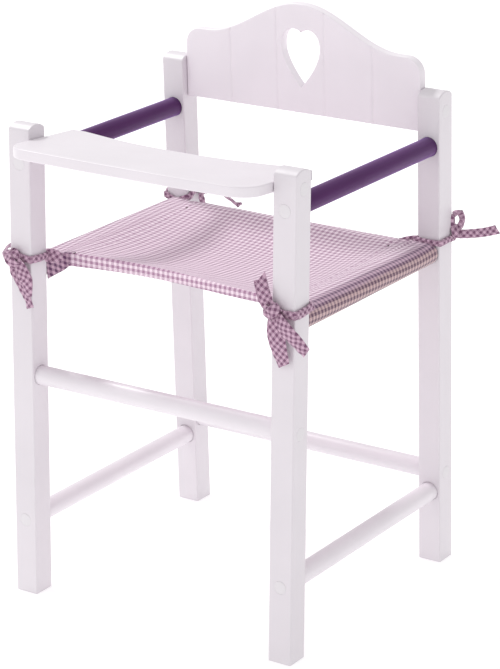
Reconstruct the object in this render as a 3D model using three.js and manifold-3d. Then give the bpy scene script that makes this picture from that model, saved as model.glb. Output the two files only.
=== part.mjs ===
// Doll high chair: four leaning posts, round rungs and arms, a planked back board with a heart cut
// through it, a tray that turns on a screw in each front post, and a gingham sling tied to the posts.
// Millimetres, +Z up. The chair faces -Y and left is -X. The pieces are set out from the middle of the
// four feet. The finished chair is then moved, so that the origin is on the floor under the middle of
// its overall box.

import * as THREE from "three";
import { mergeVertices } from "three/addons/utils/BufferGeometryUtils.js";
import Module from "manifold-3d";

const wasm = await Module();
wasm.setup();

// Posts: square bars with eased edges and an arched top, leaning in towards each other front to rear.
// The front ones rise above the tray's pivot, the rear ones above the arms.
const frameWidth = 303.2;
const footDepth = 286.7;
const postSize = 23.2;
const postEdgeRadius = 2;
const leanShare = 0.03;
const frontPostRise = 17.3;
const rearPostRise = 51.1;
const postArchRise = 4.5;

// Round rungs, arms and seat rails, all turned from one dowel stock
const dowelRadius = 9;
const dowelChamfer = 0.8;
const socketDepth = 4;
const frontRungHeight = 212;
const rearRungHeight = 89.6;
const sideRungHeight = 71.7;
const armHeight = 410.4;
const railHeight = 309.8;

// Screws and the caps that cover their heads
const shankRadius = 2;
const headRadius = 4;
const headHeight = 2.6;
const screwLength = 34;
const screwTaper = 6;
const capRadius = 6;
const capThickness = 2.6;
const capProud = 0.5;

// Fits
const fitGap = 0.3;
const overrun = 5;

// Back board and tray, cut from one board thickness. The back board's screws are set above the arms,
// and its heights are set from its screws.
const boardThickness = 9.5;
const boardBevel = 1;
const backScrewRise = 32.1;
const backBottomDrop = 21;
const shoulderRise = 46.5;
const shoulderRadius = 16;
const shoulderFlat = 8.1;
const plankWidth = 51.6;
const grooveWidth = 2;
const grooveDepth = 1.1;

// Heart cut through the back board, with its heights one above the other from its tip
const heartHalfWidth = 20.3;
const heartTipRise = 4;
const heartWaistRise = 37.5;
const heartNotchRise = 13.4;
const heartLobeRise = 5.3;
const crownCover = 22.3;

// Tray, with its pivot above the arms and its reach before and behind the line of its pivot screws
const pivotRise = 17.8;
const trayTilt = 4 * THREE.MathUtils.DEG2RAD;
const traySideGap = 0.6;
const trayFrontReach = 49;
const trayFrontBow = 2.2;
const trayRearReach = 51.4;
const trayHollowDepth = 16;
const trayHollowMargin = 13;
const trayFrontRadius = 22;
const trayRearRadius = 1.8;

// Sling seat: one cloth that wraps each rail and is stitched back under itself
const clothThickness = 1.2;
const casingEndGap = 0.6;
const stitchInset = 28;
const leftHemDrop = 11.7;
const rightHemDrop = 6.3;
const hemFold = 1.6;
const hemSetback = 12;
const hemBow = 14;
const hemBowCentre = -45;
const hemBowReach = 160;
const rearHemSetback = 4;
const cornerRun = 6;
const seatSag = 14.4;
const bowlX = -24;
const bowlY = 9;
const rearRim = 9;
const leftBend = 1.85;
const rightBend = 4.2;
const frontBend = 2.65;
const rearBend = 1.95;

// Ties: strips of the same cloth round each post, knotted on one corner of it
const ribbonWidth = 10.5;
const ribbonThickness = 1.4;
const strapWidth = 5.6;
const strapGap = 0.5;
const strapDip = 4;
const strapTilt = 2.5;
const rootInset = 7;
const rootReach = 24;
const knotRadius = 6.2;
const knotHeight = 15;
const tailLength = 44;
const tailCut = 3;

// Counts of facets
const dowelSides = 20;
const boreSides = 8;
const capSides = 14;
const screwSides = 8;
const knotSides = 10;
const crownSteps = 32;
const casingSteps = 8;
const seatSteps = 12;
const ribbonSteps = 9;
const cornerSteps = 3;
const boardCurveSteps = 8;

// Worked out from the sizes above
const sides = { left: -1, right: 1 };
const ends = { front: -1, rear: 1 };
const lean = Math.atan(leanShare);
const postHalf = postSize / 2;
const postHalfDepth = postHalf / Math.cos(lean);
const postX = frameWidth / 2 - postHalf;
const innerX = frameWidth / 2 - postSize;
const boreRadius = shankRadius + fitGap;
const counterboreDepth = fitGap + headHeight + fitGap + capThickness - capProud;
const casingRadius = dowelRadius + fitGap + clothThickness / 2;
const stitchX = postX - stitchInset;
const pivotHeight = armHeight + pivotRise;
const pivotY = postAxisY(ends.front, pivotHeight);
const frontPostHeight = pivotHeight + frontPostRise;
const rearPostHeight = armHeight + rearPostRise;
const backScrewHeight = armHeight + backScrewRise;
const backBottom = backScrewHeight - backBottomDrop;
const backShoulder = backScrewHeight + shoulderRise;
const heartTip = backScrewHeight + heartTipRise;
const heartWaist = heartTip + heartWaistRise;
const heartNotch = heartWaist + heartNotchRise;
const heartLobe = heartNotch + heartLobeRise;
const backCrown = heartLobe + crownCover;

const whitePaint = { color: 0xeae6ea, roughness: 0.42, metalness: 0 };
const purplePaint = { color: 0x4b2a63, roughness: 0.35, metalness: 0 };
const gingham = { color: 0xcfa9cb, roughness: 0.9, metalness: 0 };
const steel = { color: 0x9c9ea2, roughness: 0.35, metalness: 0.9 };
const capPlastic = { color: 0xe6e1e6, roughness: 0.5, metalness: 0 };

const chair = new THREE.Group();

function addMesh(name, geometry, look) {
  const mesh = new THREE.Mesh(geometry, new THREE.MeshStandardMaterial(look));
  mesh.name = name;
  chair.add(mesh);
  return mesh;
}

// Booleans
function toSolid(geometry) {
  const plain = geometry.clone();
  plain.deleteAttribute("normal");
  plain.deleteAttribute("uv");
  const merged = mergeVertices(plain);
  const vertProperties = new Float32Array(merged.attributes.position.array);
  const triVerts = new Uint32Array(merged.index.array);
  return new wasm.Manifold(new wasm.Mesh({ numProp: 3, vertProperties, triVerts }));
}

function toGeometry(solid) {
  const mesh = solid.getMesh();
  const geometry = new THREE.BufferGeometry();
  geometry.setAttribute("position", new THREE.BufferAttribute(mesh.vertProperties, 3));
  geometry.setIndex(new THREE.BufferAttribute(mesh.triVerts, 1));
  geometry.computeVertexNormals();
  return geometry;
}

function cut(geometry, tools) {
  const solid = tools.reduce((left, tool) => left.subtract(toSolid(tool)), toSolid(geometry));
  return toGeometry(solid);
}

function join(geometries) {
  const [first, ...others] = geometries.map(toSolid);
  return toGeometry(others.reduce((joined, next) => joined.add(next), first));
}

function indexed(positions, faces) {
  const geometry = new THREE.BufferGeometry();
  geometry.setAttribute("position", new THREE.Float32BufferAttribute(positions, 3));
  geometry.setIndex(faces);
  geometry.computeVertexNormals();
  return geometry;
}

// A cylinder whose axis runs from one point to another
function rodBetween(from, to, radius, facets) {
  const along = to.clone().sub(from);
  const rod = new THREE.CylinderGeometry(radius, radius, along.length(), facets);
  const turn = new THREE.Quaternion();
  turn.setFromUnitVectors(THREE.Object3D.DEFAULT_UP, along.clone().normalize());
  rod.applyQuaternion(turn);
  const middle = from.clone().add(to).multiplyScalar(0.5);
  return rod.translate(middle.x, middle.y, middle.z);
}

// A flat outline given a thickness, centred on its own plane, with its rims bevelled
function boardGeometry(outline) {
  const geometry = new THREE.ExtrudeGeometry(outline, {
    depth: boardThickness - 2 * boardBevel,
    bevelThickness: boardBevel,
    bevelSize: boardBevel,
    bevelOffset: -boardBevel,
    bevelSegments: 1,
    curveSegments: boardCurveSteps,
  });
  return geometry.translate(0, 0, boardBevel - boardThickness / 2);
}

// A square with rounded corners, grown by a distance from the post's own outline
function postOutline(growth) {
  const flat = postHalf - postEdgeRadius;
  const outline = new THREE.Shape();
  [[1, 1], [-1, 1], [-1, -1], [1, -1]].forEach(([x, y], quarter) => {
    const start = (quarter * Math.PI) / 2;
    outline.absarc(x * flat, y * flat, postEdgeRadius + growth, start, start + Math.PI / 2);
  });
  return outline;
}

// Where the middle of a post lies at a height, front to rear
function postAxisY(end, height) {
  return end * (footDepth / 2 - postHalfDepth - leanShare * height);
}

function postPlace(side, end) {
  const turn = new THREE.Quaternion().setFromEuler(new THREE.Euler(end * lean, 0, 0));
  const foot = new THREE.Vector3(side * postX, postAxisY(end, 0), 0);
  return new THREE.Matrix4().compose(foot, turn, new THREE.Vector3(1, 1, 1));
}

// Every joint of a post: which way its screw runs, how high it is, and whether a dowel is socketed there
function postJoints(end) {
  const front = end === ends.front;
  return [
    { name: "arm", along: "y", height: armHeight, socket: true },
    { name: "rail", along: "y", height: railHeight, socket: true },
    { name: "side_rung", along: "y", height: sideRungHeight, socket: true },
    { name: "rung", along: "x", height: front ? frontRungHeight : rearRungHeight, socket: true },
    front
      ? { name: "tray", along: "x", height: pivotHeight, socket: false }
      : { name: "back_board", along: "x", height: backScrewHeight, socket: false },
  ];
}

// A joint's line: a point of it on the post's axis, the way out, and how far off the post's two faces are
function jointLine(side, end, { along, height }) {
  return {
    centre: new THREE.Vector3(side * postX, postAxisY(end, height), height),
    outward: along === "x" ? new THREE.Vector3(side, 0, 0) : new THREE.Vector3(0, end, 0),
    half: along === "x" ? postHalf : postHalfDepth,
  };
}

function pointOn(line, distance) {
  return line.centre.clone().addScaledVector(line.outward, distance);
}

function jointTools(line, hasSocket) {
  const reach = line.half + overrun;
  const inside = pointOn(line, -reach);
  const outside = pointOn(line, reach);
  const counterboreFloor = pointOn(line, line.half - counterboreDepth);
  const tools = [
    rodBetween(inside, outside, boreRadius, boreSides),
    rodBetween(counterboreFloor, outside, capRadius + fitGap, capSides),
  ];
  if (hasSocket) {
    const socketFloor = pointOn(line, socketDepth - line.half);
    tools.push(rodBetween(inside, socketFloor, dowelRadius + fitGap, dowelSides));
  }
  return tools;
}

// The side view of a post before it is leant: plain below, arched over its depth at the top
function archedSide(length) {
  const archRadius = (postHalf ** 2 + postArchRise ** 2) / (2 * postArchRise);
  const halfAngle = Math.asin(postHalf / archRadius);
  const side = new THREE.Shape();
  side.moveTo(-postHalf, -overrun);
  side.lineTo(postHalf, -overrun);
  side.absarc(0, length - archRadius, archRadius, Math.PI / 2 - halfAngle, Math.PI / 2 + halfAngle);
  side.closePath();
  return side;
}

// The foot is sawn level with the floor, and the joints are bored square to the chair, not to the
// leaning post
function postGeometry(side, end) {
  const length = (end === ends.front ? frontPostHeight : rearPostHeight) / Math.cos(lean);
  const bar = new THREE.ExtrudeGeometry(postOutline(0), {
    depth: length + overrun,
    bevelEnabled: false,
    curveSegments: cornerSteps,
  });
  bar.translate(0, 0, -overrun);
  const arch = new THREE.ExtrudeGeometry(archedSide(length), {
    depth: postSize + 2 * overrun,
    bevelEnabled: false,
    curveSegments: boardCurveSteps,
  });
  arch.translate(0, 0, -postHalf - overrun);
  arch.rotateX(Math.PI / 2);
  arch.rotateZ(Math.PI / 2);

  const floor = new THREE.BoxGeometry(2 * postSize, 2 * postSize, 2 * overrun);
  floor.translate(side * postX, postAxisY(end, 0), -overrun);
  const tools = [floor];
  for (const joint of postJoints(end)) {
    tools.push(...jointTools(jointLine(side, end, joint), joint.socket));
  }
  const toPost = postPlace(side, end).invert();
  const shaped = toGeometry(toSolid(bar).intersect(toSolid(arch)));
  return cut(shaped, tools.map((tool) => tool.applyMatrix4(toPost)));
}

function addPosts() {
  for (const [endName, end] of Object.entries(ends)) {
    for (const [sideName, side] of Object.entries(sides)) {
      const mesh = addMesh(`${endName}_${sideName}_post`, postGeometry(side, end), whitePaint);
      mesh.applyMatrix4(postPlace(side, end));
    }
  }
}

// A turned piece from its profile of radius and height, bottom to top
function turned(profile, facets) {
  const points = profile.map(([radius, height]) => new THREE.Vector2(radius, height));
  return new THREE.LatheGeometry(points, facets);
}

function screwGeometry() {
  return turned([
    [0, -screwLength],
    [shankRadius, screwTaper - screwLength],
    [shankRadius, 0],
    [headRadius, 0],
    [headRadius, headHeight / 2],
    [headRadius / 2, headHeight],
    [0, headHeight],
  ], screwSides);
}

function capGeometry() {
  return turned([
    [0, 0],
    [capRadius, 0],
    [capRadius, capThickness - capProud],
    [capRadius / 2, capThickness],
    [0, capThickness],
  ], capSides);
}

// Each joint has a screw sunk in the post's outer face and a domed cap pressed in over its head
function addFasteners() {
  for (const [endName, end] of Object.entries(ends)) {
    for (const [sideName, side] of Object.entries(sides)) {
      for (const joint of postJoints(end)) {
        const line = jointLine(side, end, joint);
        const headSeat = line.half - counterboreDepth + fitGap;
        const capSeat = headSeat + headHeight + fitGap;
        const name = `${endName}_${sideName}_${joint.name}`;
        placeOnLine(addMesh(`${name}_screw`, screwGeometry(), steel), line, headSeat);
        placeOnLine(addMesh(`${name}_cap`, capGeometry(), capPlastic), line, capSeat);
      }
    }
  }
}

function placeOnLine(mesh, line, distance) {
  mesh.position.copy(pointOn(line, distance));
  mesh.quaternion.setFromUnitVectors(THREE.Object3D.DEFAULT_UP, line.outward);
}

// How far a screw's point stands out of the post's inner face
function screwBite(half) {
  return screwLength - fitGap - (2 * half - counterboreDepth);
}

// A dowel with chamfered rims and a pilot hole in each end
function dowelGeometry(length, half) {
  const end = length / 2;
  const pilotFloor = end - socketDepth - screwBite(half);
  const upper = [
    [0, pilotFloor],
    [boreRadius, pilotFloor],
    [boreRadius, end],
    [dowelRadius - dowelChamfer, end],
    [dowelRadius, end - dowelChamfer],
  ];
  const lower = upper.map(([radius, height]) => [radius, -height]);
  return turned([...lower, ...upper.reverse()], dowelSides);
}

function addDowelAlongY(name, side, height, look) {
  const faceY = postAxisY(ends.rear, height) - postHalfDepth;
  const length = 2 * (faceY + socketDepth - fitGap);
  addMesh(name, dowelGeometry(length, postHalfDepth), look).position.set(side * postX, 0, height);
}

function addDowelAlongX(name, end, height) {
  const length = 2 * (innerX + socketDepth - fitGap);
  const mesh = addMesh(name, dowelGeometry(length, postHalf), whitePaint);
  mesh.position.set(0, postAxisY(end, height), height);
  mesh.rotation.z = Math.PI / 2;
}

function addDowels() {
  for (const [sideName, side] of Object.entries(sides)) {
    addDowelAlongY(`${sideName}_armrest`, side, armHeight, purplePaint);
    addDowelAlongY(`${sideName}_seat_rail`, side, railHeight, whitePaint);
    addDowelAlongY(`${sideName}_side_rung`, side, sideRungHeight, whitePaint);
  }
  addDowelAlongX("front_rung", ends.front, frontRungHeight);
  addDowelAlongX("rear_rung", ends.rear, rearRungHeight);
}

// Back board outline: square below, a raised cosine crown between rounded shoulders above
function backOutline() {
  const half = innerX - fitGap;
  const arcX = half - shoulderRadius;
  const arcZ = backShoulder - shoulderRadius;
  const crownHalfWidth = arcX - shoulderFlat;
  const outline = new THREE.Shape();
  outline.moveTo(-half, backBottom);
  outline.lineTo(half, backBottom);
  outline.absarc(arcX, arcZ, shoulderRadius, 0, Math.PI / 2);
  for (let step = 0; step <= crownSteps; step += 1) {
    const share = 1 - (2 * step) / crownSteps;
    const rise = ((backCrown - backShoulder) * (1 + Math.cos(Math.PI * share))) / 2;
    outline.lineTo(crownHalfWidth * share, backShoulder + rise);
  }
  outline.absarc(-arcX, arcZ, shoulderRadius, Math.PI / 2, Math.PI);
  outline.closePath();
  outline.holes.push(heartOutline());
  return outline;
}

function heartOutline() {
  const lobeStartShare = 0.23;
  const tipFlareShare = 0.42;
  const flankShare = 1 / 3;
  const tipRiseShare = 1 / 4;
  const flank = heartWaist - flankShare * heartWaistRise;
  const tipRise = heartTip + tipRiseShare * heartWaistRise;
  const wide = heartHalfWidth;
  const heart = new THREE.Path();
  heart.moveTo(0, heartNotch);
  heart.bezierCurveTo(lobeStartShare * wide, heartLobe, wide, heartLobe, wide, heartWaist);
  heart.bezierCurveTo(wide, flank, tipFlareShare * wide, tipRise, 0, heartTip);
  heart.bezierCurveTo(-tipFlareShare * wide, tipRise, -wide, flank, -wide, heartWaist);
  heart.bezierCurveTo(-wide, heartLobe, -lobeStartShare * wide, heartLobe, 0, heartNotch);
  return heart;
}

// A V groove down the front of the board, where two planks would meet
function grooveTool(x) {
  const front = -boardThickness / 2;
  const section = new THREE.Shape();
  section.moveTo(x, front + grooveDepth);
  section.lineTo(x - grooveWidth, front - grooveDepth);
  section.lineTo(x + grooveWidth, front - grooveDepth);
  section.closePath();
  const depth = backCrown - backBottom + 2 * overrun;
  const groove = new THREE.ExtrudeGeometry(section, { depth, bevelEnabled: false });
  return groove.translate(0, 0, backBottom - overrun);
}

// Pilot holes in a board's two side edges
function edgeBores(height) {
  return [-1, 1].map((side) => {
    const mouth = new THREE.Vector3(side * (innerX + overrun), 0, height);
    const floor = new THREE.Vector3(side * (innerX - screwBite(postHalf) - fitGap), 0, height);
    return rodBetween(mouth, floor, boreRadius, boreSides);
  });
}

// The board stands between the rear posts and leans with them, turned about the line of its two screws
function addBackBoard() {
  const board = boardGeometry(backOutline()).rotateX(Math.PI / 2);
  const grooves = [-1.5, -0.5, 0.5, 1.5].map((planks) => grooveTool(planks * plankWidth));
  const geometry = cut(board, [...grooves, ...edgeBores(backScrewHeight)]);
  const mesh = addMesh("back_board", geometry.translate(0, 0, -backScrewHeight), whitePaint);
  mesh.rotation.x = ends.rear * lean;
  mesh.position.set(0, postAxisY(ends.rear, backScrewHeight), backScrewHeight);
}

// Tray outline from above, its pivot line at y = 0. The front bows out, and the rear is hollowed to
// leave room for the doll.
function trayOutline() {
  const hollowShares = [[0.8, 0.3], [0.55, 1]];
  const half = innerX - traySideGap;
  const front = -trayFrontReach;
  const frontArcX = half - trayFrontRadius;
  const frontArcY = front + trayFrontRadius;
  const rearArcX = half - trayRearRadius;
  const rearArcY = trayRearReach - trayRearRadius;
  const hollowY = trayRearReach - trayHollowDepth;
  const hollowX = rearArcX - trayHollowMargin;
  const [[nearX, nearY], [farX, farY]] = hollowShares.map(([wide, deep]) => [
    wide * hollowX,
    trayRearReach - deep * trayHollowDepth,
  ]);
  const outline = new THREE.Shape();
  outline.moveTo(-frontArcX, front);
  outline.quadraticCurveTo(0, front - 2 * trayFrontBow, frontArcX, front);
  outline.absarc(frontArcX, frontArcY, trayFrontRadius, -Math.PI / 2, 0);
  outline.absarc(rearArcX, rearArcY, trayRearRadius, 0, Math.PI / 2);
  outline.lineTo(hollowX, trayRearReach);
  outline.bezierCurveTo(nearX, nearY, farX, farY, 0, hollowY);
  outline.bezierCurveTo(-farX, farY, -nearX, nearY, -hollowX, trayRearReach);
  outline.absarc(-rearArcX, rearArcY, trayRearRadius, Math.PI / 2, Math.PI);
  outline.absarc(-frontArcX, frontArcY, trayFrontRadius, Math.PI, (3 * Math.PI) / 2);
  return outline;
}

function addTray() {
  const mesh = addMesh("tray", cut(boardGeometry(trayOutline()), edgeBores(0)), whitePaint);
  mesh.position.set(0, pivotY, pivotHeight);
  mesh.rotation.x = -trayTilt;
}

// How far the seat hangs below the rails: a bowl, lowest left of the middle. Each bend says how flat
// the bottom stays towards its edge.
function seatDrop(x, y, frontY, rearY) {
  const { clamp } = THREE.MathUtils;
  const [sideX, sideBend] = x < bowlX ? [-innerX, leftBend] : [innerX, rightBend];
  const [endY, endBend] = y < bowlY ? [frontY, frontBend] : [rearY - rearRim, rearBend];
  const aside = clamp((x - bowlX) / (sideX - bowlX), 0, 1);
  const along = clamp((y - bowlY) / (endY - bowlY), 0, 1);
  return seatSag * (1 - aside ** sideBend) * (1 - along ** endBend);
}

// The right casing's section about its rail: from the crown of the cloth round the dowel to the stitch line
function casingSection() {
  const lift = casingRadius - clothThickness - fitGap;
  const reach = Math.hypot(stitchInset, lift);
  const sweep = 2 * Math.PI - Math.atan2(stitchInset, lift) - Math.acos(casingRadius / reach);
  const cornerRadius = casingRadius / Math.cos(sweep / casingSteps / 2);
  const section = [];
  for (let step = 0; step <= casingSteps; step += 1) {
    const angle = (sweep * step) / casingSteps;
    const x = postX + cornerRadius * Math.sin(angle);
    section.push({ x, z: cornerRadius * Math.cos(angle), flap: 0 });
  }
  const leave = section[casingSteps];
  for (const x of [innerX, innerX - cornerRun, stitchX]) {
    const flap = (leave.x - x) / (leave.x - stitchX);
    section.push({ x, z: THREE.MathUtils.lerp(leave.z, lift, flap), flap });
  }
  return section;
}

// The whole section, from the stitch under the left rail across the seat to the stitch under the right one
function slingSection() {
  const right = casingSection();
  const left = right.map((point) => ({ ...point, x: -point.x })).reverse();
  const columns = [-innerX - clothThickness, -innerX, cornerRun - innerX];
  for (let step = 0; step <= seatSteps; step += 1) {
    columns.push(stitchX * ((2 * step) / seatSteps - 1));
  }
  columns.push(innerX - cornerRun, innerX, innerX + clothThickness);
  return [...left, ...columns.map((x) => ({ x, z: casingRadius, seat: true })), ...right];
}

// Rows from the foot of the front hem, over its fold and back to the rear hem
function slingGrid() {
  const { smoothstep, lerp, clamp } = THREE.MathUtils;
  const rowShares = [0, 0.03, 0.09, 0.18, 0.28, 0.4, 0.52, 0.64, 0.76, 0.87, 0.95, 1];
  const faceY = postAxisY(ends.rear, railHeight) - postHalfDepth;
  const rearY = faceY - casingEndGap;
  const flapSetback = 2 * hemFold + clothThickness;
  return slingSection().map((point) => {
    const wide = Math.abs(point.x);
    const inboard = 1 - smoothstep(wide, innerX - cornerRun, innerX);
    const hem = point.seat && wide <= innerX ? 1 : 0;
    const behindHem = !point.seat && wide <= innerX ? flapSetback : 0;
    const hemDrop = lerp(leftHemDrop, rightHemDrop, (point.x / innerX + 1) / 2);
    const bow = (1 + Math.cos(Math.PI * clamp((point.x - hemBowCentre) / hemBowReach, -1, 1))) / 2;
    const frontY = -rearY + inboard * (hemSetback + hemBow * bow) + behindHem;
    const backY = rearY - inboard * rearHemSetback;
    const foldY = frontY + 2 * hemFold;
    const rows = [
      { y: frontY + hemFold * hem, fall: hemDrop * hem },
      { y: frontY + hemFold * (1 - hem / 2), fall: (hemFold / 2) * hem },
      ...rowShares.map((share) => ({ y: lerp(foldY, backY, share), fall: 0 })),
    ];
    return rows.map(({ y, fall }) => {
      const sag = point.seat ? 1 : point.flap;
      const drop = sag * seatDrop(point.x, y, foldY, backY);
      return new THREE.Vector3(point.x, y, railHeight + point.z - drop - fall);
    });
  });
}

// A closed cloth over a grid of points, half its thickness to either side of them
function clothGeometry(grid) {
  const columns = grid.length;
  const rows = grid[0].length;
  const { clamp } = THREE.MathUtils;
  const at = (i, j) => grid[clamp(i, 0, columns - 1)][clamp(j, 0, rows - 1)];
  const positions = [];
  for (const layer of [1, -1]) {
    for (let i = 0; i < columns; i += 1) {
      for (let j = 0; j < rows; j += 1) {
        const across = at(i + 1, j).clone().sub(at(i - 1, j));
        const along = at(i, j + 1).clone().sub(at(i, j - 1));
        const normal = across.cross(along).normalize();
        const point = normal.multiplyScalar((layer * clothThickness) / 2).add(at(i, j));
        positions.push(...point);
      }
    }
  }
  const vertex = (layer, i, j) => (layer * columns + i) * rows + j;
  const faces = [];
  const quad = (a, b, c, d) => faces.push(a, b, c, a, c, d);
  for (let i = 0; i < columns - 1; i += 1) {
    for (let j = 0; j < rows - 1; j += 1) {
      quad(vertex(0, i, j), vertex(0, i + 1, j), vertex(0, i + 1, j + 1), vertex(0, i, j + 1));
      quad(vertex(1, i, j), vertex(1, i, j + 1), vertex(1, i + 1, j + 1), vertex(1, i + 1, j));
    }
    quad(vertex(0, i + 1, 0), vertex(0, i, 0), vertex(1, i, 0), vertex(1, i + 1, 0));
    const end = rows - 1;
    quad(vertex(0, i, end), vertex(0, i + 1, end), vertex(1, i + 1, end), vertex(1, i, end));
  }
  for (let j = 0; j < rows - 1; j += 1) {
    const last = columns - 1;
    quad(vertex(0, 0, j), vertex(0, 0, j + 1), vertex(1, 0, j + 1), vertex(1, 0, j));
    quad(vertex(0, last, j + 1), vertex(0, last, j), vertex(1, last, j), vertex(1, last, j + 1));
  }
  return indexed(positions, faces);
}

function addSeat() {
  addMesh("seat_sling", clothGeometry(slingGrid()), gingham);
}

// Ties. The knot sits on one corner of its post, given as -1 or 1 along x and y, and the strap rises
// along x by the tilt. Each tail runs from the knot through points in shares of the tail length.
const tieShares = [
  {
    side: "left",
    end: "front",
    corner: [-1, -1],
    tilt: 0.6,
    tails: [
      {
        widthShare: 0.7,
        facing: [0.2, -1, 0],
        shares: [[0.11, -0.05, -0.3], [0.3, -0.06, -0.61], [0.45, -0.05, -0.93]],
      },
      {
        widthShare: 0.8,
        facing: [0, -1, 0],
        shares: [[0.3, -0.1, -0.1], [0.56, -0.1, -0.36], [0.6, -0.09, -0.62], [0.5, -0.07, -0.9]],
      },
      {
        widthShare: 0.8,
        facing: [-0.8, -0.6, 0],
        shares: [[-0.22, 0.18, 0.09], [-0.5, 0.55, 0.02], [-0.86, 1.08, -0.16]],
      },
    ],
  },
  {
    side: "right",
    end: "front",
    corner: [-1, -1],
    tilt: -1,
    tails: [
      {
        widthShare: 1.05,
        facing: [0.1, -1, 0],
        shares: [[0.05, -0.07, -0.32], [0.13, -0.07, -0.68], [0.25, -0.06, -1.02]],
      },
      {
        widthShare: 0.85,
        facing: [0, -1, -0.2],
        shares: [[0.22, -0.12, -0.2], [0.52, -0.12, -0.43], [0.84, -0.09, -0.64]],
      },
      {
        widthShare: 1,
        facing: [0, -1, 0.1],
        shares: [[-0.1, -0.02, 0.2], [-0.2, -0.02, 0.43], [-0.27, 0.02, 0.64]],
      },
    ],
  },
  {
    side: "left",
    end: "rear",
    corner: [1, 1],
    tilt: 0.4,
    tails: [
      {
        widthShare: 0.6,
        facing: [0.83, 0.55, 0],
        shares: [[0.06, 0.02, -0.22], [0.08, 0.02, -0.5], [0.12, 0, -0.76]],
      },
      {
        widthShare: 0.75,
        facing: [0, 0, 1],
        shares: [[0.27, -0.02, 0.13], [0.6, -0.04, 0.17], [0.87, -0.07, 0.05], [1.12, -0.1, -0.2]],
      },
    ],
  },
  {
    side: "right",
    end: "rear",
    corner: [1, 1],
    tilt: 0,
    tails: [
      {
        widthShare: 0.5,
        facing: [0.55, -0.83, 0],
        shares: [[-0.02, 0, 0.3], [0.07, 0.05, 0.52], [0.19, 0.1, 0.48], [0.2, 0.1, 0.26], [0.06, 0, 0]],
      },
      {
        widthShare: 0.65,
        facing: [0.4, -0.9, 0.2],
        shares: [[0.27, 0.05, 0.02], [0.6, 0.11, 0.08], [0.98, 0.17, 0.18]],
      },
    ],
  },
];

// A flat ribbon along a smooth route, its broad side turned to one way, cut on the slant at its far end
function ribbonGeometry(stops, width, facing) {
  const curve = new THREE.CatmullRomCurve3(stops, false, "centripetal");
  const positions = [];
  for (let k = 0; k <= ribbonSteps; k += 1) {
    const tangent = curve.getTangentAt(k / ribbonSteps);
    const across = facing.clone().cross(tangent).normalize();
    const normal = tangent.clone().cross(across);
    const slant = k === ribbonSteps ? tailCut / 2 : 0;
    for (const [a, n] of [[1, -1], [1, 1], [-1, 1], [-1, -1]]) {
      const point = curve.getPointAt(k / ribbonSteps);
      point.addScaledVector(across, (a * width) / 2);
      point.addScaledVector(normal, (n * ribbonThickness) / 2);
      point.addScaledVector(tangent, a * slant);
      positions.push(...point);
    }
  }
  const faces = [0, 2, 1, 0, 3, 2];
  for (let k = 0; k < ribbonSteps; k += 1) {
    for (let c = 0; c < 4; c += 1) {
      const a = 4 * k + c;
      const b = 4 * k + ((c + 1) % 4);
      faces.push(a, b, b + 4, a, b + 4, a + 4);
    }
  }
  const last = 4 * ribbonSteps;
  faces.push(last, last + 1, last + 2, last, last + 2, last + 3);
  return indexed(positions, faces);
}

// The strap: a band all round the post, clear of it, level on the seat's side and lower on the far one
function strapGeometry(side, end, tilt, strapZ) {
  const band = postOutline(strapGap + ribbonThickness);
  band.holes.push(new THREE.Path(postOutline(strapGap).getPoints(cornerSteps)));
  const geometry = new THREE.ExtrudeGeometry(band, {
    depth: strapWidth,
    bevelEnabled: false,
    curveSegments: cornerSteps,
  });
  geometry.translate(0, 0, -strapWidth / 2);
  const slopeX = (tilt * strapTilt) / postHalf;
  const slopeY = (-end * strapDip) / postSize;
  const shear = new THREE.Matrix4().makeShear(0, slopeX, 0, slopeY, 0, 0);
  geometry.applyMatrix4(shear);
  return geometry.translate(side * postX, postAxisY(end, strapZ), strapZ);
}

function tieGeometry(side, end, { corner, tilt, tails }) {
  const casingTop = railHeight + casingRadius + clothThickness;
  const strapZ = casingTop + strapWidth / 2 + Math.abs(tilt) * strapTilt - strapDip / 2;
  const axis = new THREE.Vector3(side * postX, postAxisY(end, strapZ), strapZ);
  const cornerOffset = postHalf + strapGap + ribbonThickness / 2;
  const knotCentre = new THREE.Vector3(corner[0], corner[1], 0).multiplyScalar(cornerOffset).add(axis);
  const knot = new THREE.SphereGeometry(knotRadius, knotSides, knotSides / 2);
  knot.scale(1, knotHeight / (2 * knotRadius), 1);
  knot.rotateX(Math.PI / 2);
  knot.translate(...knotCentre);

  const rootX = side * (postX - rootInset);
  const rootZ = casingTop + ribbonThickness / 2;
  const rootStart = new THREE.Vector3(rootX, axis.y - end * (postHalf + rootReach), rootZ);
  const rootMiddle = new THREE.Vector3(rootX, axis.y - end * (postHalf + rootReach / 2), rootZ);
  const strapY = axis.y - end * cornerOffset;
  const rootEnd = new THREE.Vector3(rootX, strapY, strapZ + strapDip / 2);
  const root = ribbonGeometry([rootStart, rootMiddle, rootEnd], strapWidth, new THREE.Vector3(0, 0, 1));

  const ribbons = tails.map(({ widthShare, facing, shares }) => {
    const steps = shares.map((share) => new THREE.Vector3(...share).multiplyScalar(tailLength));
    const stops = [knotCentre, ...steps.map((step) => step.add(knotCentre))];
    return ribbonGeometry(stops, widthShare * ribbonWidth, new THREE.Vector3(...facing));
  });
  const post = new THREE.ExtrudeGeometry(postOutline(strapGap), {
    depth: rearPostHeight,
    bevelEnabled: false,
    curveSegments: cornerSteps,
  });
  const tie = join([strapGeometry(side, end, tilt, strapZ), knot, root, ...ribbons]);
  return cut(tie, [post.applyMatrix4(postPlace(side, end))]);
}

function addTies() {
  for (const tie of tieShares) {
    addMesh(`${tie.end}_${tie.side}_tie`, tieGeometry(sides[tie.side], ends[tie.end], tie), gingham);
  }
}

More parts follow.
